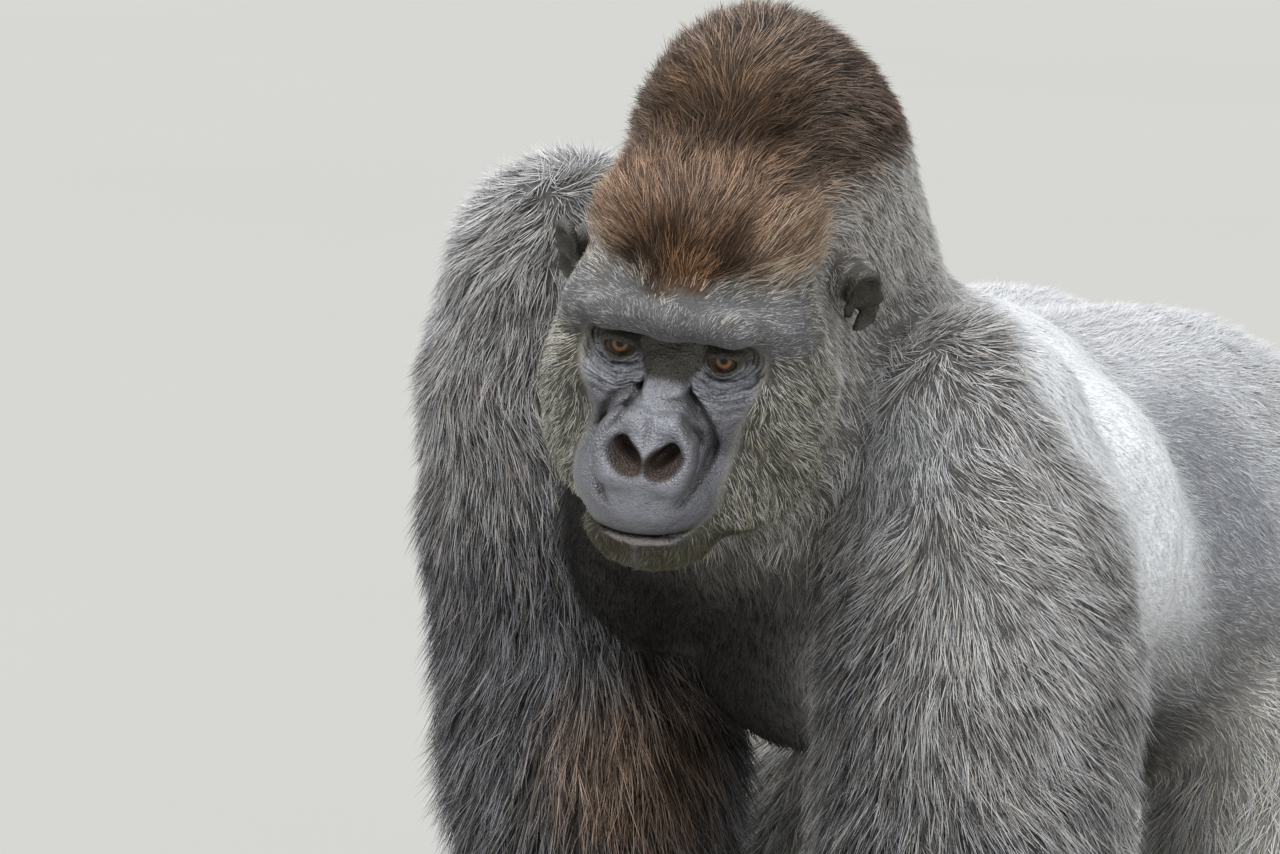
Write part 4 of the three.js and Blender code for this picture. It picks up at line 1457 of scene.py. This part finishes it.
def coat_material():
    m = Shader("coat")
    colour = m.shaded(m.attribute("tint", "Color"), m.ranged(m.noise(160), 0.8, 1.2))
    m.set(Base_Color=colour, Roughness=0.5, Specular_IOR_Level=0.08)
    return m.material


def skin_bumps(m, bare):
    """Fine leather, folds round the eyes and creases on bare skin, and streaks under the fur."""
    cells = m.node("TexVoronoi", {"Scale": 430, "Vector": m.place()}, feature="DISTANCE_TO_EDGE")
    leather = m.maths("ADD", m.ranged(cells.outputs["Distance"], 0, 0.7), m.noise(700, 2))
    normal = m.bump(leather, m.times(bare, 0.9), 0.0015)
    lines = m.maths("ADD", m.times(m.attribute("out"), 2.3), m.times(m.noise(90, 2), 9.0))
    normal = m.bump(m.maths("SINE", lines), m.times(m.attribute("wrinkled"), 0.7), 0.0012, normal)
    normal = m.bump(m.noise(120, 4), m.times(bare, 0.6), 0.004, normal)
    streaks = m.noise(1.0, 2, m.place((420, 70, 420)))
    furred = m.maths("SUBTRACT", 1.0, bare)
    return m.bump(streaks, m.times(furred, 0.8), 0.0025, normal)


def skin_material():
    m = Shader("skin")
    bare = m.attribute("bare")
    mottled = m.times(m.ranged(m.noise(45), 0.75, 1.25), m.ranged(m.noise(420), 0.6, 1.4))
    m.set(
        Base_Color=m.shaded(m.attribute("tint", "Color"), mottled),
        Roughness=m.blend(bare, 0.8, m.ranged(m.noise(150), 0.26, 0.42)),
        Specular_Tint=m.attribute("gloss"),
        Specular_IOR_Level=1.0,
        IOR=1.55,
        Normal=skin_bumps(m, bare),
    )
    return m.material


IRIS = (  # how far out from the pupil's middle, as a share of the ball's radius, and the colour there
    (0.0, rgb(3, 2, 2)),
    (0.15, rgb(5, 4, 3)),
    (0.2, rgb(58, 39, 23)),
    (0.3, rgb(118, 84, 48)),
    (0.38, rgb(98, 66, 38)),
    (0.46, rgb(22, 15, 10)),
    (0.6, rgb(30, 21, 14)),
    (0.8, rgb(84, 66, 44)),
)


def eye_material():
    m = Shader("eye")
    x, y, _ = m.node("SeparateXYZ", {0: m.node("TexCoord").outputs["Object"]}).outputs
    out = m.maths("SQRT", m.maths("ADD", m.maths("POWER", x, 2.0), m.maths("POWER", y, 2.0)))
    turn = m.maths("ARCTAN2", y, x)
    spokes = m.node("CombineXYZ", {0: m.times(turn, 9.0), 1: m.times(out, 300.0)}).outputs[0]
    bands = m.node("ValToRGB", {0: m.times(out, 1000 / EYE_RADIUS)})
    elements = bands.color_ramp.elements
    while len(elements) < len(IRIS):
        elements.new(0.5)
    for element, (at, colour) in zip(elements, IRIS):
        element.position = at
        element.color = (*colour, 1)
    colour = m.shaded(bands.outputs[0], m.ranged(m.noise(1.0, 2, spokes), 0.7, 1.35))
    m.set(Base_Color=colour, Roughness=0.25, Specular_IOR_Level=0.2, Coat_Weight=0.15, Coat_Roughness=0.03)
    return m.material


def floor_material():
    m = Shader("floor")
    pale = m.node("CombineXYZ", {i: float(value) for i, value in enumerate(rgb(182, 181, 177))})
    colour = m.shaded(pale.outputs[0], m.ranged(m.noise(0.5), 0.97, 1.03))
    m.set(Base_Color=colour, Roughness=0.9, Specular_IOR_Level=0.2)
    return m.material


# ------------------------------------------------------------------ pieces


def make_skin():
    grid = FineNearTheFace()
    points, quads = meshed(skin_field, grid)
    points = settled(skin_field, points)
    skin = Skin(points, quads)
    bare = skin.coat["bare"]
    under_fur = np.clip(1 - 1.1 * skin.coat["vary"] * (1 - bare), 0.2, 1)
    tint = np.concatenate([skin.coat["colour"] * under_fur[:, None], np.ones((len(points), 1))], 1)
    out, wrinkled = wrinkles(in_head(points))
    gloss = np.clip(bare * skin.coat["colour"].mean(1) / BARE.mean(), 0.08, 1)
    values = {"tint": tint, "bare": bare, "gloss": gloss, "out": out, "wrinkled": wrinkled}
    piece = new_mesh("skin", to_row(points), quads, attributes=values)
    piece.data.materials.append(skin_material())
    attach(piece, "root")
    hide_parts(*(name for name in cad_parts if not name.startswith("eye_")))
    return skin


GAZE = np.array([1.5, -12.0, 5.0])  # from under the brows, up and a little to its left


def ball_rows(rings, around):
    """The eye's ball as points and triangles: rings from the clear front, bulged out, to the back."""
    polar = np.linspace(0, math.pi, rings + 1)[1:-1]
    turns = np.arange(around) * 2 * math.pi / around
    radius = EYE_RADIUS - 0.3 + 1.1 * ramp(polar, 0.56, 0.1)
    x = np.outer(np.sin(polar) * radius, np.cos(turns)).ravel()
    y = np.outer(np.sin(polar) * radius, np.sin(turns)).ravel()
    z = np.repeat(np.cos(polar) * radius, around)
    poles = [(0, 0, EYE_RADIUS + 0.8), (0, 0, 0.3 - EYE_RADIUS)]
    points = np.concatenate([np.stack([x, y, z], 1), poles])
    a = np.arange(len(x)).reshape(-1, around)
    b = np.roll(a, -1, axis=1)
    quads = np.stack([a[:-1], a[1:], b[1:], b[:-1]], -1).reshape(-1, 4)
    front = np.stack([np.full(around, len(x)), a[0], b[0]], 1)
    back = np.stack([np.full(around, len(x) + 1), b[-1], a[-1]], 1)
    return points, np.concatenate([quads[:, [0, 1, 2]], quads[:, [0, 2, 3]], front, back])


def make_eye(side, material):
    """A ball turned so that its own +Z, the clear front, is where it looks."""
    points, triangles = ball_rows(rings=40, around=48)
    ball = new_mesh(f"eyeball_{side}", points / 1000, triangles)
    aim(ball, HEAD_TURN @ GAZE)
    ball.location = node_middle(f"eye_{side}") / 1000
    ball.data.materials.append(material)
    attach(ball, "root")
    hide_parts(f"eye_{side}")


# ------------------------------------------------------------------ studio


def make_camera():
    """Far off to the front left of the animal, a little above its eyes, and looking level past it."""
    azimuth, elevation, distance = math.radians(38), math.radians(6), 8.0
    level = math.cos(elevation)
    along = Vector((-math.sin(azimuth) * level, math.cos(azimuth) * level, -math.sin(elevation)))
    right = Vector((math.cos(azimuth), math.sin(azimuth), 0))
    up = right.cross(along)
    eyes_right, eyes_up = 0.0207, 0.0486  # metres from the line of sight
    data = bpy.data.cameras.new("camera")
    data.sensor_width = 36
    data.lens = 347.2
    data.clip_start = 0.5
    data.clip_end = 400
    camera = added("camera", data)
    camera.location = Vector(to_row(EYES)) - along * distance - right * eyes_right - up * eyes_up
    aim(camera, along, "-Z")
    bpy.context.scene.camera = camera


def make_floor():
    half = 150.0
    corners = np.array([(-half, -half, 0), (half, -half, 0), (half, half, 0), (-half, half, 0)])
    floor = new_mesh("floor", corners, np.array([[0, 1, 2, 3]]))
    floor.data.materials.append(floor_material())


def add_sun(name, towards, spread, strength, colour):
    """Even light from a wide patch of sky in one direction."""
    data = bpy.data.lights.new(name, "SUN")
    data.angle = math.radians(spread)
    data.energy = strength
    data.color = colour
    light = added(name, data)
    light.location = (0, 0, 4)
    aim(light, towards)


def light_studio():
    add_sun("sky", (-0.03, -0.5, 0.86), 44, 2.6, (1.0, 0.99, 0.97))
    add_sun("side", (0.85, -0.45, 0.42), 16, 0.85, (0.97, 0.98, 1.0))
    world = bpy.data.worlds.new("studio")
    world.use_nodes = True
    background = world.node_tree.nodes["Background"]
    background.inputs["Color"].default_value = (0.92, 0.96, 1.0, 1)
    background.inputs["Strength"].default_value = 0.68
    bpy.context.scene.world = world
    bpy.context.scene.view_settings.view_transform = "Standard"


def main():
    make_camera()
    make_floor()
    light_studio()
    skin = make_skin()
    grow_coat(skin, coat_material())
    eyes = eye_material()
    for side in SIDES:
        make_eye(side, eyes)


main()
